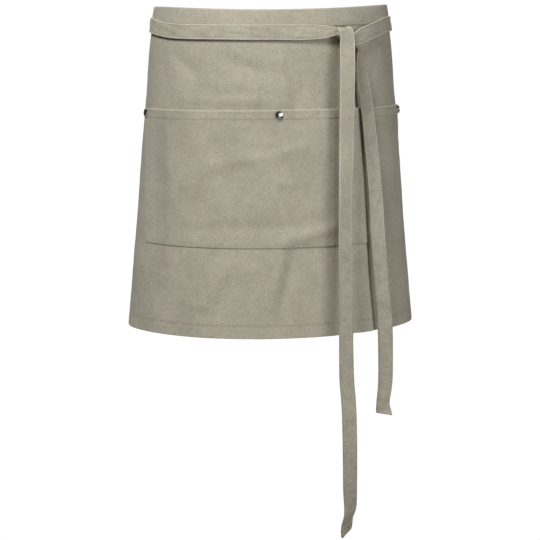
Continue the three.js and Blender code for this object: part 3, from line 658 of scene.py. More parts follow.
class APRON_OT_pocket(bpy.types.Operator):
    """Makes the wide pocket, hemmed at its mouth and divided by a seam down the middle"""

    bl_idname = "apron.pocket"
    bl_label = "Pocket"

    def execute(self, context):
        s = sizes()
        half = s.pocket_half_width
        mouth, bottom = s.pocket_drop, s.pocket_drop + s.pocket_height
        columns = spread((-half, -half + SIDE_REACH, -MIDDLE_REACH, MIDDLE_REACH, *CREASED,
                          half - SIDE_REACH, half), POCKET_COLUMNS)
        rows = spread((mouth, mouth + MOUTH_REACH, bottom - BOTTOM_REACH, bottom), POCKET_ROWS)
        across, drop = np.meshgrid(columns, rows)
        uv = np.stack([leaning(across, drop), -drop], -1)
        below, side, up = drop - mouth, half - np.abs(across), bottom - drop
        # Pale along the mouth's fold, partly wear and partly painted highlight; a painted highlight on the
        # hem's stitch rows; painted shade just below the fold and under the hem's edge; pale side and
        # bottom edges, partly wear and partly painted highlight; painted shade along the side and middle
        # seams
        wear = (lines(below, (0.3, 1.0, 0.8), (2.6, 1.2, -0.25), (HEM_ROWS[0] / MM, 1.0, 0.1),
                      (HEM_ROWS[1] / MM, 1.0, 0.2), (s.pocket_hem / MM + 0.9, 1.0, -0.08))
                + lines(side, (0, 1.4, 0.5), (SIDE_ROWS[0] / MM, 1.2, -0.4))
                + lines(across, (0, 1.2, -0.12)) + lines(up, (0, 1.0, 0.2)))
        sheet = wall(on_pocket(across, drop), in_pocket(across, drop), uv, wear)
        piece = canvas_piece("pocket_cloth", *sheet)
        near(piece, "pocket", 3 * MM)
        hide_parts("pocket")
        line = np.arange(-half + 2 * MM, half - 2 * MM, SEAM_STEP)
        for row in HEM_ROWS:
            sew_on("cloth", on_pocket, line, mouth + row)
        down = np.arange(mouth + 2 * MM, bottom - 2 * MM, SEAM_STEP)
        for side in (-1, 1):
            for row in SIDE_ROWS:
                sew_on("cloth", on_pocket, side * (half - row), down)
        sew_on("cloth", on_pocket, 0.0, down[down > mouth + s.pocket_hem + 1 * MM])
        sew_on("cloth", on_pocket, line, bottom - BOTTOM_ROW)
        return {"FINISHED"}


# Straps. Way round the body from the sewn end at the back to the knot. Each row: share of the
# turn, drop as a share of the band's height, layer of strap over the band, share of the width.
LEFT_ROUND_END = -0.75
RIGHT_ROUND_END = 1.25
TIE_SEWN = 26 * MM
KNOT_ACROSS = 91.3 * MM
KNOT_DROP = 34.7 * MM
TAIL_STANDOFF = 12 * MM
ROUND_STEP = math.radians(5.5)
LEFT_ROUND = (
    (0.000, 0.50, 0, 1.00), (0.044, 0.51, 0, 1.00), (0.125, 0.94, 0, 1.00), (0.197, 1.43, 0, 1.00),
    (0.252, 1.45, 0, 1.00), (0.421, 1.16, 0, 1.00), (0.506, 1.03, 0, 1.00), (0.578, 1.18, 0, 1.00),
    (0.650, 1.32, 0, 1.00), (0.772, 1.30, 0, 1.00), (0.887, 1.29, 0, 1.02), (0.929, 1.32, 0, 1.05),
    (0.968, 1.33, 0.8, 0.95), (0.986, 1.33, 1.9, 0.80), (1.000, 1.32, 2.9, 0.50),
)
RIGHT_ROUND = (
    (0.000, 0.50, 0, 1.00), (0.042, 0.50, 0, 1.00), (0.075, 0.50, 1, 1.00), (0.177, 0.94, 1, 1.00),
    (0.279, 1.43, 1, 1.00), (0.321, 1.45, 0.1, 1.00), (0.417, 1.37, 0, 1.00), (0.597, 1.24, 0, 1.00),
    (0.717, 1.12, 0, 1.00), (0.789, 1.08, 0, 1.00), (0.867, 1.14, 0, 1.03), (0.954, 1.40, 0.6, 1.07),
    (1.000, 1.57, 1.6, 1.05),
)

# Through the knot. Each row: across and drop from the knot's middle in strap widths, layer, share
# of the width, and the strap's fold in degrees.
LEFT_KNOT = (
    (-0.55, -0.05, 4.0, 0.44, 0), (-0.27, 0.04, 3.7, 0.36, 0), (0.03, 0.18, 2.2, 0.32, 0),
    (0.32, 0.36, 0.7, 0.34, 0), (0.60, 0.61, 0.3, 0.34, 0), (0.88, 0.83, 0.0, 0.29, 0),
    (1.04, 1.08, 0.0, 0.31, 0), (1.02, 1.49, 0.0, 0.50, 0), (1.11, 2.21, 0.2, 0.78, 0),
)
RIGHT_KNOT = (
    (0.86, 0.29, 2.3, 1.00, 0), (0.46, 0.44, 3.2, 0.82, 0), (0.19, 0.60, 3.2, 0.56, 0),
    (0.00, 0.69, 2.7, 0.42, 0), (-0.14, 0.66, 2.0, 0.40, 0), (-0.22, 0.50, 1.2, 0.40, 0),
    (-0.24, 0.28, 0.9, 0.42, 0), (-0.23, 0.04, 0.9, 0.44, 0), (-0.19, -0.12, 1.2, 0.50, 0),
    (-0.18, -0.22, 1.8, 0.62, 0), (-0.24, -0.29, 2.3, 0.84, 45), (-0.33, -0.33, 3.9, 0.98, 90),
    (-0.36, -0.28, 5.5, 1.08, 135), (-0.33, -0.17, 5.9, 1.12, 180), (-0.26, 0.21, 6.2, 1.06, 180),
)

# Tails. Each row: share of the length down, across in strap widths, out, degrees turned, share of
# the width, and skew of the cut end.
LONG_TAIL = (
    (0.030, 0.11, 0.35, 0, 1.03, 0), (0.055, 0.10, 0.75, 0, 1.01, 0), (0.090, 0.08, 1.00, 0, 1.00, 0),
    (0.180, 0.05, 1.00, 8, 1.00, 0), (0.330, -0.01, 1.00, 29, 1.00, 0), (0.450, 0.05, 1.00, 16, 1.00, 0),
    (0.610, 0.11, 1.00, 7, 1.00, 0), (0.680, 0.17, 1.00, 3, 1.03, 0), (0.730, 0.31, 1.02, 0, 1.02, 0),
    (0.800, 0.40, 1.04, 0, 1.02, 0), (0.900, 0.44, 1.04, 8, 1.00, 0), (0.945, 0.46, 1.00, 29, 1.00, 0),
    (0.962, 0.34, 0.95, 50, 0.98, 0), (0.977, 0.24, 0.95, 30, 1.00, 0.1),
    (0.994, 0.20, 0.95, 52, 1.00, 0.25),
)
SHORT_TAIL = (
    (0.119, 0.77, 0.88, 26, 1.00, 0), (0.165, 0.97, 1.00, 30, 1.00, 0), (0.254, 1.24, 1.02, 24, 1.00, 0),
    (0.420, 1.71, 0.92, 18, 1.00, 0), (0.495, 1.82, 0.82, 6, 1.00, 0), (0.625, 2.15, 0.70, 1, 1.00, 0),
    (0.725, 2.43, 0.62, 0, 1.03, 0), (0.779, 2.49, 0.60, 0, 1.06, 0), (0.901, 2.55, 0.60, 2, 1.03, 0),
    (0.932, 2.51, 0.60, 5, 1.00, 0), (0.968, 2.44, 0.62, 6, 0.93, 0), (0.994, 2.40, 0.70, -8, 1.12, 0.16),
)


def layer_lift(layer):
    _, band, _ = face_levels()
    s = sizes()
    return band + PLY_GAP + s.strap_thickness / 2 + layer * (s.strap_thickness + PLY_GAP)


def turn_toward(across, drop):
    return np.arcsin(across / form_at(drop)[0])


def round_stations(table, side, knot_edge):
    """Stations round the body, as rows of place, face, width and skew."""
    s = sizes()
    end_drop = np.float64(table[-1][1] * s.band_height)
    sewn = turn_at(s.cloth_width / 2 - TIE_SEWN, s.band_height / 2)
    start = side * (2 * math.pi - float(sewn))
    end = float(turn_toward(KNOT_ACROSS + knot_edge * s.strap_width, end_drop))
    steps = round(abs(end - start) / ROUND_STEP)
    at = np.linspace(0, 1, steps + 1)
    turn = start + (end - start) * at
    drop = s.band_height * read(table, 1, at)
    place = on_form(turn, drop, layer_lift(read(table, 2, at)))
    wide = read(table, 3, at)
    return np.column_stack([place, face_of(turn, drop), wide, 0 * wide])


def knot_stations(table):
    s = sizes()
    across, down, layer, wide, fold = np.array(table, float).T
    drop = KNOT_DROP + down * s.strap_width
    turn = turn_toward(KNOT_ACROSS + across * s.strap_width, drop)
    fold = np.radians(fold)
    face = face_of(turn, drop) * np.cos(fold)[:, None]
    face[:, 2] -= np.sin(fold)
    return np.column_stack([on_form(turn, drop, layer_lift(layer)), face, wide, 0 * wide])


def long_tail_stations():
    s = sizes()
    front = knot_stations(RIGHT_KNOT)[-1]
    down, across, out, turned, wide, skew = np.array(LONG_TAIL, float).T
    turned = np.radians(turned)
    place = np.column_stack([KNOT_ACROSS + across * s.strap_width, front[1] - out * TAIL_STANDOFF,
                             -KNOT_DROP - down * s.long_tail])
    face = np.column_stack([-np.sin(turned), np.cos(turned), 0 * turned])
    return np.column_stack([place, face, wide, skew])


def short_tail_stations():
    s = sizes()
    _, _, seam = face_levels()
    rest = seam + s.cloth_thickness + s.pocket_fullness + PLY_GAP + s.strap_thickness / 2
    down, across, out, turned, wide, skew = np.array(SHORT_TAIL, float).T
    drop = KNOT_DROP + down * s.short_tail
    onto = np.minimum(drop, s.apron_length)
    place = on_form(turn_toward(KNOT_ACROSS + across * s.strap_width, onto), onto, out * rest)
    turned = np.radians(turned)
    reach = wide * s.strap_width / 2
    place[:, 0] += reach * np.cos(turned)
    place[:, 1] += reach * np.sin(turned)
    place[:, 2] = -drop
    face = np.column_stack([np.sin(turned), -np.cos(turned), 0 * turned])
    return np.column_stack([place, face, wide, skew])


SMALLEST_GAP = 1e-4


def curve_point(points, i, t):
    """A point between stations i and i + 1 of a smooth curve that bends most where they are close."""
    last = len(points) - 1
    p1, p2 = points[i], points[i + 1]
    p0 = points[i - 1] if i > 0 else 2 * p1 - p2
    p3 = points[i + 2] if i + 2 <= last else 2 * p2 - p1
    gaps = [max(np.linalg.norm(b - a) ** 0.5, SMALLEST_GAP) for a, b in ((p0, p1), (p1, p2), (p2, p3))]
    first = (p1 - p0) / gaps[0] - (p2 - p0) / (gaps[0] + gaps[1]) + (p2 - p1) / gaps[1]
    second = (p2 - p1) / gaps[1] - (p3 - p1) / (gaps[1] + gaps[2]) + (p3 - p2) / gaps[2]
    first, second = first * gaps[1], second * gaps[1]
    return (p1 + first * t + (3 * p2 - 3 * p1 - 2 * first - second) * t * t
            + (2 * p1 - 2 * p2 + first + second) * t ** 3)


# A strap's mesh: spacing of its rings, places across its half width, how its turns are softened
# along it, and how much of its rounded edge is drawn
STRAP_RING = 2.4 * MM
ACROSS = (1.0, 0.996, 0.982, 0.96, 0.92, 0.87, 0.82, 0.79, 0.76, 0.72, 0.66, 0.55, 0.42, 0.28, 0.14, 0.0)
SOFTEN, SOFTEN_STEP, SOFTEN_REACH = 6 * MM, 0.5 * MM, 24
EDGE_ROUND, EDGE_THICK = 0.45, 0.3

# A strap's relief: grooves of its seams, rolled edges, creases, and gathers where it is bunched
STRAP_STITCH_INSET = 2.3 * MM
TAIL_HEM, TAIL_HEM_STEP, TAIL_HEM_RISE = 8 * MM, 1.2 * MM, 0.8 * MM
SEAM_GROOVE, EDGE_ROLL, CREASE_HEIGHT = 0.30 * MM, 0.22 * MM, 0.58 * MM
GATHERED_FROM, GATHERED_SPAN = 0.86, 0.40

# Drops at which painted shade begins and ends to darken the tails, in two steps that grow darker towards
# the bottom, and where a band of painted shade lies on the front tail
PAINTED_SHADE_DROPS, DEEPER_PAINTED_SHADE_DROPS = (0.20, 0.46), (0.52, 0.72)
SHADED, SHADED_WIDE = 0.10, 0.06


def stitch_place():
    """Where a strap's seams lie, as a share of its half width."""
    return 1 - STRAP_STITCH_INSET / (sizes().strap_width / 2)


def strap_relief(along, w, wide, front, seed):
    """How far a strap's face stands out: rolled sewn edges, a soft middle, creases, and gathers."""
    off = np.abs(w)
    groove = -SEAM_GROOVE * bell(off - stitch_place(), 0.05)
    roll = EDGE_ROLL * bell(off - 0.90, 0.07)
    crease = noise(along / 0.021 + 1.1 * w, w * 1.3 + along / 0.09, seed)
    crease += 0.6 * noise(along / 0.008 - 0.9 * w, w * 1.2, seed + 1)
    gather = np.clip((GATHERED_FROM - wide) / GATHERED_SPAN, 0, 1)
    pleats = np.cos(3.0 * math.pi * w + 0.8 * noise(along / 0.012, w, seed + 2))
    crown = 1 - w * w
    relief = groove * (1 - 0.6 * gather) + roll + CREASE_HEIGHT * crease * (1 - off ** 4)
    relief = relief + gather * MM * (0.9 * crown + 0.42 * pleats * crown)
    return relief if front else 0.5 * relief * (1 - gather)


def strap_rings(stations, seed):
    """Fine rings of a strap's section along its stations, with its weave and its two edge seams."""
    s = sizes()
    places = stations[:, :3]
    where = []
    for i, long in enumerate(np.linalg.norm(np.diff(places, axis=0), axis=1)):
        parts = max(3, math.ceil(long / STRAP_RING))
        where += [(i, k / parts) for k in range(parts)]
    where.append((len(stations) - 2, 1.0))
    middle = np.array([curve_point(places, i, part) for i, part in where])
    index = [i + part for i, part in where]
    steps = np.linalg.norm(np.diff(middle, axis=0), axis=1)
    length_along = np.concatenate([[0], np.cumsum(steps)])
    even = np.arange(0, length_along[-1], SOFTEN_STEP)
    kernel = bell(np.arange(-SOFTEN_REACH, SOFTEN_REACH + 1) * SOFTEN_STEP, SOFTEN)
    kernel /= kernel.sum()

    def along_strap(k, soft=True):
        """Column k of the stations, read at every ring."""
        values = np.interp(index, np.arange(len(stations)), stations[:, k])
        if not soft:
            return values
        line = np.interp(even, length_along, values)
        padded = np.pad(line, SOFTEN_REACH, mode="edge")
        return np.interp(length_along, even, np.convolve(padded, kernel, mode="valid"))

    face = np.column_stack([along_strap(k) for k in (3, 4, 5)])
    wide, skew = along_strap(6), along_strap(7, soft=False)
    along = unit(np.gradient(middle, length_along, axis=0))
    wide_way = unit(np.cross(face, along))
    out_way = np.cross(along, wide_way)
    across = np.array(ACROSS)
    w = np.concatenate([across, -across[-2::-1]])
    edge = EDGE_ROUND * s.strap_thickness / s.strap_width
    lip = np.clip((np.abs(w) - (1 - edge)) / edge, 0, 1)
    thick = np.sqrt(np.clip(1 - lip ** 2, 0, 1))
    grid_along, grid_wide, grid_w = np.broadcast_arrays(length_along[:, None], wide[:, None], w)
    aside = grid_w * (wide * s.strap_width / 2)[:, None]
    hem = 1 - smoothstep(length_along[-1] - grid_along, TAIL_HEM, TAIL_HEM + TAIL_HEM_STEP)

    def face_points(front):
        relief = strap_relief(grid_along, grid_w, grid_wide, front, seed) + TAIL_HEM_RISE * hem
        lift = (s.strap_thickness / 2 * thick + relief * (thick > EDGE_THICK)) * (1 if front else -1)
        shift = grid_w * (skew * s.strap_width)[:, None]
        return (middle[:, None] + wide_way[:, None] * aside[..., None]
                + out_way[:, None] * lift[..., None] + along[:, None] * shift[..., None])

    front, back = face_points(True), face_points(False)
    rings = np.concatenate([front, back[:, -2:0:-1]], axis=1)
    v = np.concatenate([aside, aside[:, -2:0:-1]], axis=1)
    u = np.broadcast_to(length_along[:, None], v.shape)
    return rings, np.stack([u, v], -1), front, back, out_way, w


def strap_piece(name, node, stations, seed):
    rings, uv, front, back, out_way, w = strap_rings(stations, seed)
    off, seam = np.abs(np.concatenate([w, w[-2:0:-1]])), stitch_place()
    down, total = -rings[..., 2], float(uv[-1, 0, 0])
    # Painted light on the strap: a painted highlight along its rolled edges that fades lower down, painted
    # shade in the seam grooves, painted shade growing darker towards the bottom of the tails and in a band
    # on the front tail, and at the cut end a pale edge, partly wear and partly painted highlight, with
    # painted shade at the step of its hem
    painted_shade_below = smoothstep(down, *PAINTED_SHADE_DROPS)
    wear = ((1.15 - 1.5 * painted_shade_below) * smoothstep(off, seam + 0.04, 0.89) - 0.5 * bell(off - seam, 0.045)
            - 0.6 * painted_shade_below - 0.8 * smoothstep(down, *DEEPER_PAINTED_SHADE_DROPS) - 0.35 * bell(down - SHADED, SHADED_WIDE)
            + lines(total - uv[..., 0], (0, 1.5, 0.9), (TAIL_HEM / MM, 0.9, -0.6)))
    piece = canvas_piece(name, rings, tube(rings), uv, wear, "strap")
    near(piece, node, 4 * MM)
    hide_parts(node)
    for side in (-1, 1):
        i = int(np.argmin(np.abs(w - side * seam)))
        sew("ties", front[:, i], out_way)
        sew("ties", back[:, i], -out_way)


class APRON_OT_ties(bpy.types.Operator):
    """Makes the two straps, sewn on at the back, crossed there and tied once at the front"""

    bl_idname = "apron.ties"
    bl_label = "Ties"

    def execute(self, context):
        left = np.concatenate([round_stations(LEFT_ROUND, -1, LEFT_ROUND_END),
                               knot_stations(LEFT_KNOT), short_tail_stations()])
        right = np.concatenate([round_stations(RIGHT_ROUND, 1, RIGHT_ROUND_END),
                                knot_stations(RIGHT_KNOT), long_tail_stations()])
        strap_piece("tie_left_strap", "tie_left", left, 51)
        strap_piece("tie_right_strap", "tie_right", right, 61)
        return {"FINISHED"}


RIVET_INSET = 6.3 * MM
RIVET_EDGE = 6.0 * MM
RIVET_SEAT = 0.6 * MM
RIVET_CLEARANCE = 0.35 * MM
RIVET_SIDES = 40

# A rivet's section in millimetres, from the middle outwards: radius and depth of the washer and the
# shank below their seat, then the cap's rim, beside its radius and over its seat
WASHER = ((0, 0.9), (3.4, 0.9), (4.4, 0.75), (4.6, 0.45), (4.4, 0), (1.8, 0))
CAP_RIM = ((-0.5, 0), (-0.1, 0.15), (0, 0.45))

# The cap's dome: how far it begins inside the rim and over the seat, how flat its crown is, and the
# steps up it
DOME_INSET, DOME_FOOT, CROWN = 0.08 * MM, 0.55 * MM, 0.60
DOME_STEPS, DOME_STEP = 8, math.radians(11)


def rivet_profile():
    """Radius and height of a domed cap, its shank and the washer behind, from the middle outwards."""
    s = sizes()
    seat = face_levels()[2] + s.cloth_thickness + RIVET_CLEARANCE
    r, h = s.rivet_radius, s.rivet_height
    points = [(radius * MM, -RIVET_SEAT - deep * MM) for radius, deep in WASHER]
    points.append((points[-1][0], seat))
    points += [(r + aside * MM, seat + high * MM) for aside, high in CAP_RIM]
    for k in range(1, DOME_STEPS + 1):
        points.append(((r - DOME_INSET) * math.cos(k * DOME_STEP) ** CROWN,
                       seat + DOME_FOOT + (h - DOME_FOOT) * math.sin(k * DOME_STEP) ** CROWN))
    return [*points, (0, seat + h)]


def rivet_mesh():
    """A rivet's section turned round its axis."""
    profile = rivet_profile()
    ring = len(profile) - 2
    low, top = RIVET_SIDES * ring, RIVET_SIDES * ring + 1
    points, faces = [], []
    for k in range(RIVET_SIDES):
        turn = 2 * math.pi * k / RIVET_SIDES
        points += [(r * math.cos(turn), r * math.sin(turn), z) for r, z in profile[1:-1]]
        a, b = k * ring, (k + 1) % RIVET_SIDES * ring
        faces.append((low, b, a))
        faces += [(a + i, b + i, b + i + 1, a + i + 1) for i in range(ring - 1)]
        faces.append((a + ring - 1, b + ring - 1, top))
    points += [(0, 0, profile[0][1]), (0, 0, profile[-1][1])]
    mesh = bpy.data.meshes.new("rivet_shape")
    mesh.from_pydata(points, [], faces)
    return mesh


def add(tree, kind, inputs=None, output=0, **settings):
    """Adds a node with its settings, and fills its inputs with values or with the sockets that feed
    them. Gives back one of its outputs."""
    made = tree.nodes.new(kind)
    for name, value in settings.items():
        setattr(made, name, value)
    for name, value in (inputs or {}).items():
        if isinstance(value, bpy.types.NodeSocket):
            tree.links.new(value, made.inputs[name])
        else:
            made.inputs[name].default_value = value
    return made.outputs[output] if made.outputs else None


def repeat_tree(name, sockets):
    """An empty tree for a modifier with named inputs, and the sockets that give their values."""
    tree = bpy.data.node_groups.new(name, "GeometryNodeTree")
    for label, kind in {"Geometry": "Geometry", **sockets}.items():
        tree.interface.new_socket(label, in_out="INPUT", socket_type=f"NodeSocket{kind}")
    tree.interface.new_socket("Geometry", in_out="OUTPUT", socket_type="NodeSocketGeometry")
    return tree, tree.nodes.new("NodeGroupInput").outputs


def place_copies(tree, places, material):
    """Ends a tree: copies are placed, made real and smooth, and given their material."""
    copies = add(tree, "GeometryNodeInstanceOnPoints", places)
    real = add(tree, "GeometryNodeRealizeInstances", {"Geometry": copies})
    smooth = add(tree, "GeometryNodeSetShadeSmooth", {"Geometry": real})
    done = add(tree, "GeometryNodeSetMaterial", {"Geometry": smooth, "Material": material})
    add(tree, "NodeGroupOutput", {"Geometry": done})


def grown(name, points, out, edges, tree, values):
    """The plain mesh that a tree makes from points that know the way out of the cloth, as a piece
    that rides on the apron."""
    places = bpy.data.meshes.new(name + "_places")
    places.from_pydata(points.tolist(), edges, [])
    places.attributes.new("outward", "FLOAT_VECTOR", "POINT").data.foreach_set(
        "vector", out.astype(np.float32).ravel())
    seed = linked(name + "_seed", places)
    modifier = seed.modifiers.new("repeat", "NODES")
    modifier.node_group = tree
    for item in tree.interface.items_tree:
        if item.in_out == "INPUT" and item.name in values:
            modifier[item.identifier] = values[item.name]
    depsgraph = bpy.context.evaluated_depsgraph_get()
    mesh = bpy.data.meshes.new_from_object(seed.evaluated_get(depsgraph), depsgraph=depsgraph)
    if not mesh.polygons:
        raise RuntimeError(f"{name} came out empty")
    mesh.name = name
    seed.modifiers.clear()
    bpy.data.objects.remove(seed)
    piece = linked(name, mesh)
    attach(piece, BODY)
    return piece


class APRON_OT_rivets(bpy.types.Operator):
    """Makes the domed nickel rivets at the pocket's corners and at the head of its middle seam"""

    bl_idname = "apron.rivets"
    bl_label = "Rivets"

    def execute(self, context):
        s = sizes()
        drop = s.pocket_drop + RIVET_INSET
        edge = s.pocket_half_width - RIVET_EDGE
        middle = leaning(np.array([-edge, 0.0, edge]), drop)

        def pocket_plain(across, drop):
            return on_form(turn_at(across, drop), drop, 4 * MM)

        out = surface_out(pocket_plain, middle, np.full(3, drop))
        tree, given = repeat_tree("set_rivets", {"Rivet": "Object", "Finish": "Material", "Size": "Float"})
        shape = add(tree, "GeometryNodeObjectInfo", {"Object": given["Rivet"]}, "Geometry")
        way = add(tree, "GeometryNodeInputNamedAttribute", {"Name": "outward"}, data_type="FLOAT_VECTOR")
        turned = add(tree, "FunctionNodeAlignRotationToVector", {"Vector": way}, axis="Z")
        place_copies(tree, {"Points": given["Geometry"], "Instance": shape, "Rotation": turned,
                            "Scale": given["Size"]}, given["Finish"])
        one = linked("rivet_shape", rivet_mesh())
        piece = grown("rivets", on_cloth(middle, drop, 0), out, [], tree,
                      {"Rivet": one, "Finish": nickel_material(), "Size": 1.0})
        bpy.data.objects.remove(one)
        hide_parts("rivet_left", "rivet_centre", "rivet_right")
        return {"FINISHED"}


THREAD_LIFT = 0.12 * MM


class APRON_OT_stitching(bpy.types.Operator):
    """Sews every seam with single stitches of thread"""

    bl_idname = "apron.stitching"
    bl_label = "Stitching"

    def execute(self, context):
        s = sizes()
        tree, given = repeat_tree("sew_seams", {
            "Stitch Pitch": "Float", "Stitch Length": "Float", "Thread Width": "Float",
            "Thread": "Material"})
        line = add(tree, "GeometryNodeMeshToCurve", {"Mesh": given["Geometry"]})
        spaced = add(tree, "GeometryNodeResampleCurve", {"Curve": line, "Length": given["Stitch Pitch"]},
                     mode="LENGTH")
        along = add(tree, "GeometryNodeInputTangent")
        way = add(tree, "GeometryNodeInputNamedAttribute", {"Name": "outward"}, data_type="FLOAT_VECTOR")
        pointed = add(tree, "FunctionNodeAlignRotationToVector", {"Vector": along}, axis="X")
        turned = add(tree, "FunctionNodeAlignRotationToVector", {"Rotation": pointed, "Vector": way},
                     axis="Z", pivot_axis="X")
        ball = add(tree, "GeometryNodeMeshUVSphere", {"Segments": 6, "Rings": 4, "Radius": 0.5})
        size = add(tree, "ShaderNodeCombineXYZ", {
            "X": given["Stitch Length"], "Y": given["Thread Width"], "Z": given["Thread Width"]})
        one = add(tree, "GeometryNodeTransform", {"Geometry": ball, "Scale": size})
        place_copies(tree, {"Points": spaced, "Instance": one, "Rotation": turned}, given["Thread"])
        values = {"Stitch Pitch": s.stitch_pitch, "Stitch Length": s.stitch_length,
                  "Thread Width": s.thread_width, "Thread": thread_material()}
        for group, slot in (("cloth", "canvas"), ("ties", "canvas_tie")):
            points, out, edges, start = [], [], [], 0
            for line_points, line_out in SEAMS[group]:
                points.append(line_points + line_out * THREAD_LIFT)
                out.append(line_out)
                edges += [(start + k, start + k + 1) for k in range(len(line_points) - 1)]
                start += len(line_points)
            piece = grown(f"stitches_{group}", np.concatenate(points), np.concatenate(out), edges,
                          tree, values)
        return {"FINISHED"}


def new_material(name):
    """A material of this name without any nodes, and its tree."""
    made = bpy.data.materials.new(name)
    made.use_nodes = True
    made.node_tree.nodes.clear()
    return made, made.node_tree


def give_surface(tree, inputs):
    """Ends a material in the one shader that these inputs describe."""
    shader = add(tree, "ShaderNodeBsdfPrincipled", inputs)
    add(tree, "ShaderNodeOutputMaterial", {"Surface": shader})


def speckled(tree, base, scale, detail, dark, pale):
    """Fine random variation in space, and a colour that it varies from dark to pale shares."""
    place = add(tree, "ShaderNodeTexCoord", output="Object")
    speck = add(tree, "ShaderNodeTexNoise", {"Vector": place, "Scale": scale, "Detail": detail})
    ends = {6: (*(c * dark for c in base), 1), 7: (*(min(1, c * pale) for c in base), 1)}
    return speck, add(tree, "ShaderNodeMix", {0: speck, **ends}, 2, data_type="RGBA")


# Uneven yarn and cloth. Each row: the grain's size across and up in millimetres, detail, roughness.
WARP, WEFT = (1.5, 5.5, 2, 0.55), (5.5, 1.5, 2, 0.55)
MOTTLE, PATCHES = (2.6, 2.6, 3, 0.6), (11, 12, 2, 0.55)
BROAD, TINT = (48, 60, 2, 0.55), (44, 52, 1, 0.55)

# Shares of the cloth's red, green and blue where it is greenest and where it is pinkest
GREEN, PINK = (0.987, 1.005, 0.990), (1.013, 0.995, 1.010)

# Threads of a 10 oz canvas are 0.7 mm apart, too fine for the render, so pairs of them show. The
# second number is the wave texture's scale at which one wave is one unit long.
THREAD_PAIR = 1.4
WAVE_UNIT = 0.314

# Grains to the metre of the thread's fibre, the nickel's wear and the floor's paint
THREAD_GRAIN, NICKEL_GRAIN, PAINT_GRAIN = 900.0, 420.0, 160.0


def canvas_material(kind):
    """Unbleached grey beige cotton canvas, plain woven from uneven yarn: matt, with slubs along both
    threads, a soft mottle where the yarn is thicker or thinner, and a faint nap."""
    name = {"canvas": "cotton_canvas", "strap": "cotton_canvas_strap"}[kind]
    if name in bpy.data.materials:
        return bpy.data.materials[name]
    made, tree = new_material(name)
    cloth = tuple(getattr(colours(), kind))
    place = add(tree, "ShaderNodeUVMap", uv_map="weave")

    def pattern(across, up, detail, rough):
        """Random variation whose grain is across by up millimetres."""
        spot = add(tree, "ShaderNodeMapping", {
            "Vector": place, "Scale": (1 / (across * MM), 1 / (up * MM), 1)})
        return add(tree, "ShaderNodeTexNoise", {
            "Vector": spot, "Scale": 1.0, "Detail": detail, "Roughness": rough}, noise_dimensions="2D")

    yarn = add(tree, "ShaderNodeMath", {0: pattern(*WARP), 1: pattern(*WEFT)}, operation="ADD")
    sums = [yarn]
    for grain, share in ((MOTTLE, 1.2), (PATCHES, 0.7), (BROAD, 0.9)):
        sums.append(add(tree, "ShaderNodeMath", {0: pattern(*grain), 1: share, 2: sums[-1]},
                        operation="MULTIPLY_ADD"))
    level = add(tree, "ShaderNodeMapRange", {
        "Value": sums[-1], "From Min": 1.6, "From Max": 3.2, "To Min": 0.75, "To Max": 1.25})
    # The pieces' per-point values lighten the cloth along edges, partly for wear and partly as painted
    # highlight, and darken it with painted shade in grooves, deep places and lower down the tails
    wear_and_painted_light_values = add(tree, "ShaderNodeAttribute", output="Fac", attribute_name="wear")
    level_with_wear_and_painted_light = add(tree, "ShaderNodeMath", {0: wear_and_painted_light_values, 1: 0.26, 2: level}, operation="MULTIPLY_ADD")
    green, pink = ((*(c * k for c, k in zip(cloth, tone)), 1) for tone in (GREEN, PINK))
    share = add(tree, "ShaderNodeMapRange", {"Value": pattern(*TINT), "From Min": 0.30, "From Max": 0.70})
    hue = add(tree, "ShaderNodeMix", {0: share, 6: green, 7: pink}, 2, data_type="RGBA")
    shade = add(tree, "ShaderNodeVectorMath", {0: hue, 3: level_with_wear_and_painted_light}, operation="SCALE")
    pairs = 1 / (THREAD_PAIR * MM)
    ridge = add(tree, "ShaderNodeMapping", {"Vector": place, "Scale": (pairs, pairs, 1)})
    columns, rows = (add(tree, "ShaderNodeTexWave", {
        "Vector": ridge, "Scale": WAVE_UNIT, "Distortion": 0.6, "Detail": 1.0}, "Fac", bands_direction=way)
        for way in "XY")
    weave = add(tree, "ShaderNodeMath", {0: columns, 1: rows}, operation="MULTIPLY")
    height = add(tree, "ShaderNodeMath", {0: weave, 1: 0.5, 2: sums[1]}, operation="MULTIPLY_ADD")
    bump = add(tree, "ShaderNodeBump", {"Height": height, "Strength": 0.35, "Distance": 0.6 * MM})
    give_surface(tree, {"Base Color": shade, "Roughness": 0.93, "Specular IOR Level": 0.25,
                        "Sheen Weight": 0.12, "Sheen Roughness": 0.6, "Normal": bump})
    return made


def thread_material():
    """Twisted polyester sewing thread: smoother and paler than the cloth, with a slight shine."""
    made, tree = new_material("sewing_thread")
    _, shade = speckled(tree, colours().thread, THREAD_GRAIN, 2.0, 0.82, 1.15)
    give_surface(tree, {"Base Color": shade, "Roughness": 0.62, "Specular IOR Level": 0.4})
    return made


def nickel_material():
    """Nickel plated brass, pressed and tumbled: a soft metallic shine, dulled a little by handling."""
    made, tree = new_material("nickel_plate")
    wear, shade = speckled(tree, colours().metal, NICKEL_GRAIN, 4.0, 0.78, 1.12)
    rough = add(tree, "ShaderNodeMapRange", {
        "Value": wear, "From Min": 0.3, "From Max": 0.7, "To Min": 0.10, "To Max": 0.18})
    bump = add(tree, "ShaderNodeBump", {"Height": wear, "Strength": 0.04, "Distance": 0.1 * MM})
    give_surface(tree, {"Base Color": shade, "Metallic": 1.0, "Roughness": rough, "Normal": bump})
    return made


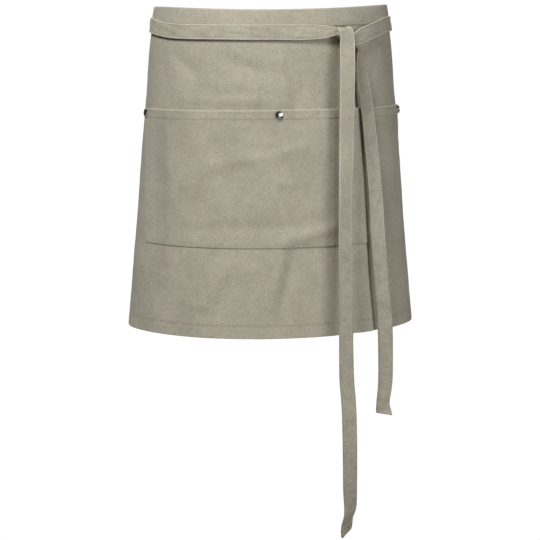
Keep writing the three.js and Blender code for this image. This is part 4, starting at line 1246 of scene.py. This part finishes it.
def paint_material():
    """Matt pale floor paint with a fine roller grain."""
    made, tree = new_material("painted_floor")
    place = add(tree, "ShaderNodeTexCoord", output="Object")
    grain = add(tree, "ShaderNodeTexNoise", {"Vector": place, "Scale": PAINT_GRAIN})
    bump = add(tree, "ShaderNodeBump", {"Height": grain, "Strength": 0.05, "Distance": 0.4 * MM})
    give_surface(tree, {"Base Color": (*colours().floor, 1), "Roughness": 0.85, "Normal": bump})
    return made


# The photograph's camera: turned a little to the left, looking slightly down
CAMERA_TURN = math.radians(-4.9)
CAMERA_PITCH = math.radians(8.2)
CAMERA_AWAY = 2.4
CAMERA_HEIGHT = -0.030
CAMERA_ASIDE = -0.001
CAMERA_LENS = 110.33
CAMERA_SENSOR = 36

# Soft boxes round a point at the middle of the cloth: turn from the front to the right, elevation,
# distance, width, height, power, and whether polished metal mirrors it
LIT_MIDDLE = Vector((0, 0, -0.25))
LIGHTS = (
    ("soft_box_left", -33, 45, 2.6, 0.9, 0.9, 64.0, False),
    ("soft_box_right", 42, 10, 2.6, 1.0, 1.8, 25.0, True),
    ("soft_box_front", 14, 0, 2.9, 1.0, 0.9, 5.0, True),
    ("soft_box_back", 165, 30, 2.8, 1.4, 1.4, 60.0, False),
)
AMBIENT = 0.045
BACKDROP = 1.02
FLOOR_RADIUS, FLOOR_HEIGHT, FLOOR_SIDES = 0.75, -1.05, 120


class APRON_OT_stage(bpy.types.Operator):
    """Sets the pale floor, the soft boxes, the camera and a white surround"""

    bl_idname = "apron.stage"
    bl_label = "Stage"

    def execute(self, context):
        scene = context.scene
        self.set_camera(scene)
        self.set_lights()
        self.set_floor()
        self.set_surround(scene)
        scene.view_settings.view_transform = "Standard"
        return {"FINISHED"}

    def aim(self, thing, ahead):
        """Turns a camera or a light so that it looks ahead."""
        thing.rotation_mode = "QUATERNION"
        thing.rotation_quaternion = ahead.to_track_quat("-Z", "Y")

    def set_camera(self, scene):
        data = bpy.data.cameras.new("camera")
        data.lens, data.sensor_width = CAMERA_LENS, CAMERA_SENSOR
        camera = linked("camera", data)
        back = Vector((math.sin(CAMERA_TURN), -math.cos(CAMERA_TURN), 0))
        aside = Vector((math.cos(CAMERA_TURN), math.sin(CAMERA_TURN), 0))
        camera.location = back * CAMERA_AWAY + aside * CAMERA_ASIDE + Vector((0, 0, CAMERA_HEIGHT))
        self.aim(camera, back * -math.cos(CAMERA_PITCH) + Vector((0, 0, -math.sin(CAMERA_PITCH))))
        scene.camera = camera

    def set_lights(self):
        for name, turn, up, away, wide, high, power, mirrored in LIGHTS:
            data = bpy.data.lights.new(name, "AREA")
            data.shape = "RECTANGLE"
            data.size, data.size_y, data.energy = wide, high, power
            light = linked(name, data)
            light.visible_glossy = mirrored
            turn, up = math.radians(turn), math.radians(up)
            toward = Vector((math.sin(turn) * math.cos(up), -math.cos(turn) * math.cos(up), math.sin(up)))
            light.location = LIT_MIDDLE + toward * away
            self.aim(light, -toward)

    def set_floor(self):
        turns = [2 * math.pi * k / FLOOR_SIDES for k in range(FLOOR_SIDES)]
        around = [(FLOOR_RADIUS * math.cos(t), FLOOR_RADIUS * math.sin(t), FLOOR_HEIGHT) for t in turns]
        mesh = bpy.data.meshes.new("floor")
        mesh.from_pydata(around, [], [list(range(FLOOR_SIDES))])
        mesh.materials.append(paint_material())
        linked("floor", mesh)

    def set_surround(self, scene):
        """Plain white behind the apron, which itself gets only a soft fill from it."""
        world = bpy.data.worlds.new("surround")
        world.use_nodes = True
        tree = world.node_tree
        tree.nodes.clear()
        ray = add(tree, "ShaderNodeLightPath", output="Is Camera Ray")
        level = add(tree, "ShaderNodeMapRange", {"Value": ray, "To Min": AMBIENT, "To Max": BACKDROP})
        light = add(tree, "ShaderNodeBackground", {"Color": (1, 1, 1, 1), "Strength": level})
        add(tree, "ShaderNodeOutputWorld", {"Surface": light})
        scene.world = world


class APRON_PT_sidebar(bpy.types.Panel):
    """Lists the apron's pieces and the stage"""

    bl_idname = "APRON_PT_sidebar"
    bl_label = "Waist Apron"
    bl_space_type = "VIEW_3D"
    bl_region_type = "UI"
    bl_category = "Apron"

    def draw(self, context):
        for step in STEPS:
            self.layout.operator(step.bl_idname)
        for group in (context.scene.apron_sizes, context.scene.apron_colours):
            for name in group.__annotations__:
                self.layout.prop(group, name)


STEPS = (APRON_OT_panel, APRON_OT_waistband, APRON_OT_pocket, APRON_OT_ties, APRON_OT_rivets,
         APRON_OT_stitching, APRON_OT_stage)
CLASSES = (ApronSizes, ApronColours, *STEPS, APRON_PT_sidebar)


def register():
    for each in CLASSES:
        bpy.utils.register_class(each)
    bpy.types.Scene.apron_sizes = bpy.props.PointerProperty(type=ApronSizes)
    bpy.types.Scene.apron_colours = bpy.props.PointerProperty(type=ApronColours)


def unregister():
    del bpy.types.Scene.apron_colours
    del bpy.types.Scene.apron_sizes
    for each in reversed(CLASSES):
        bpy.utils.unregister_class(each)


def main():
    register()
    bpy.ops.apron.panel()
    bpy.ops.apron.waistband()
    bpy.ops.apron.pocket()
    bpy.ops.apron.ties()
    bpy.ops.apron.rivets()
    bpy.ops.apron.stitching()
    bpy.ops.apron.stage()


if __name__ == "__main__":
    main()
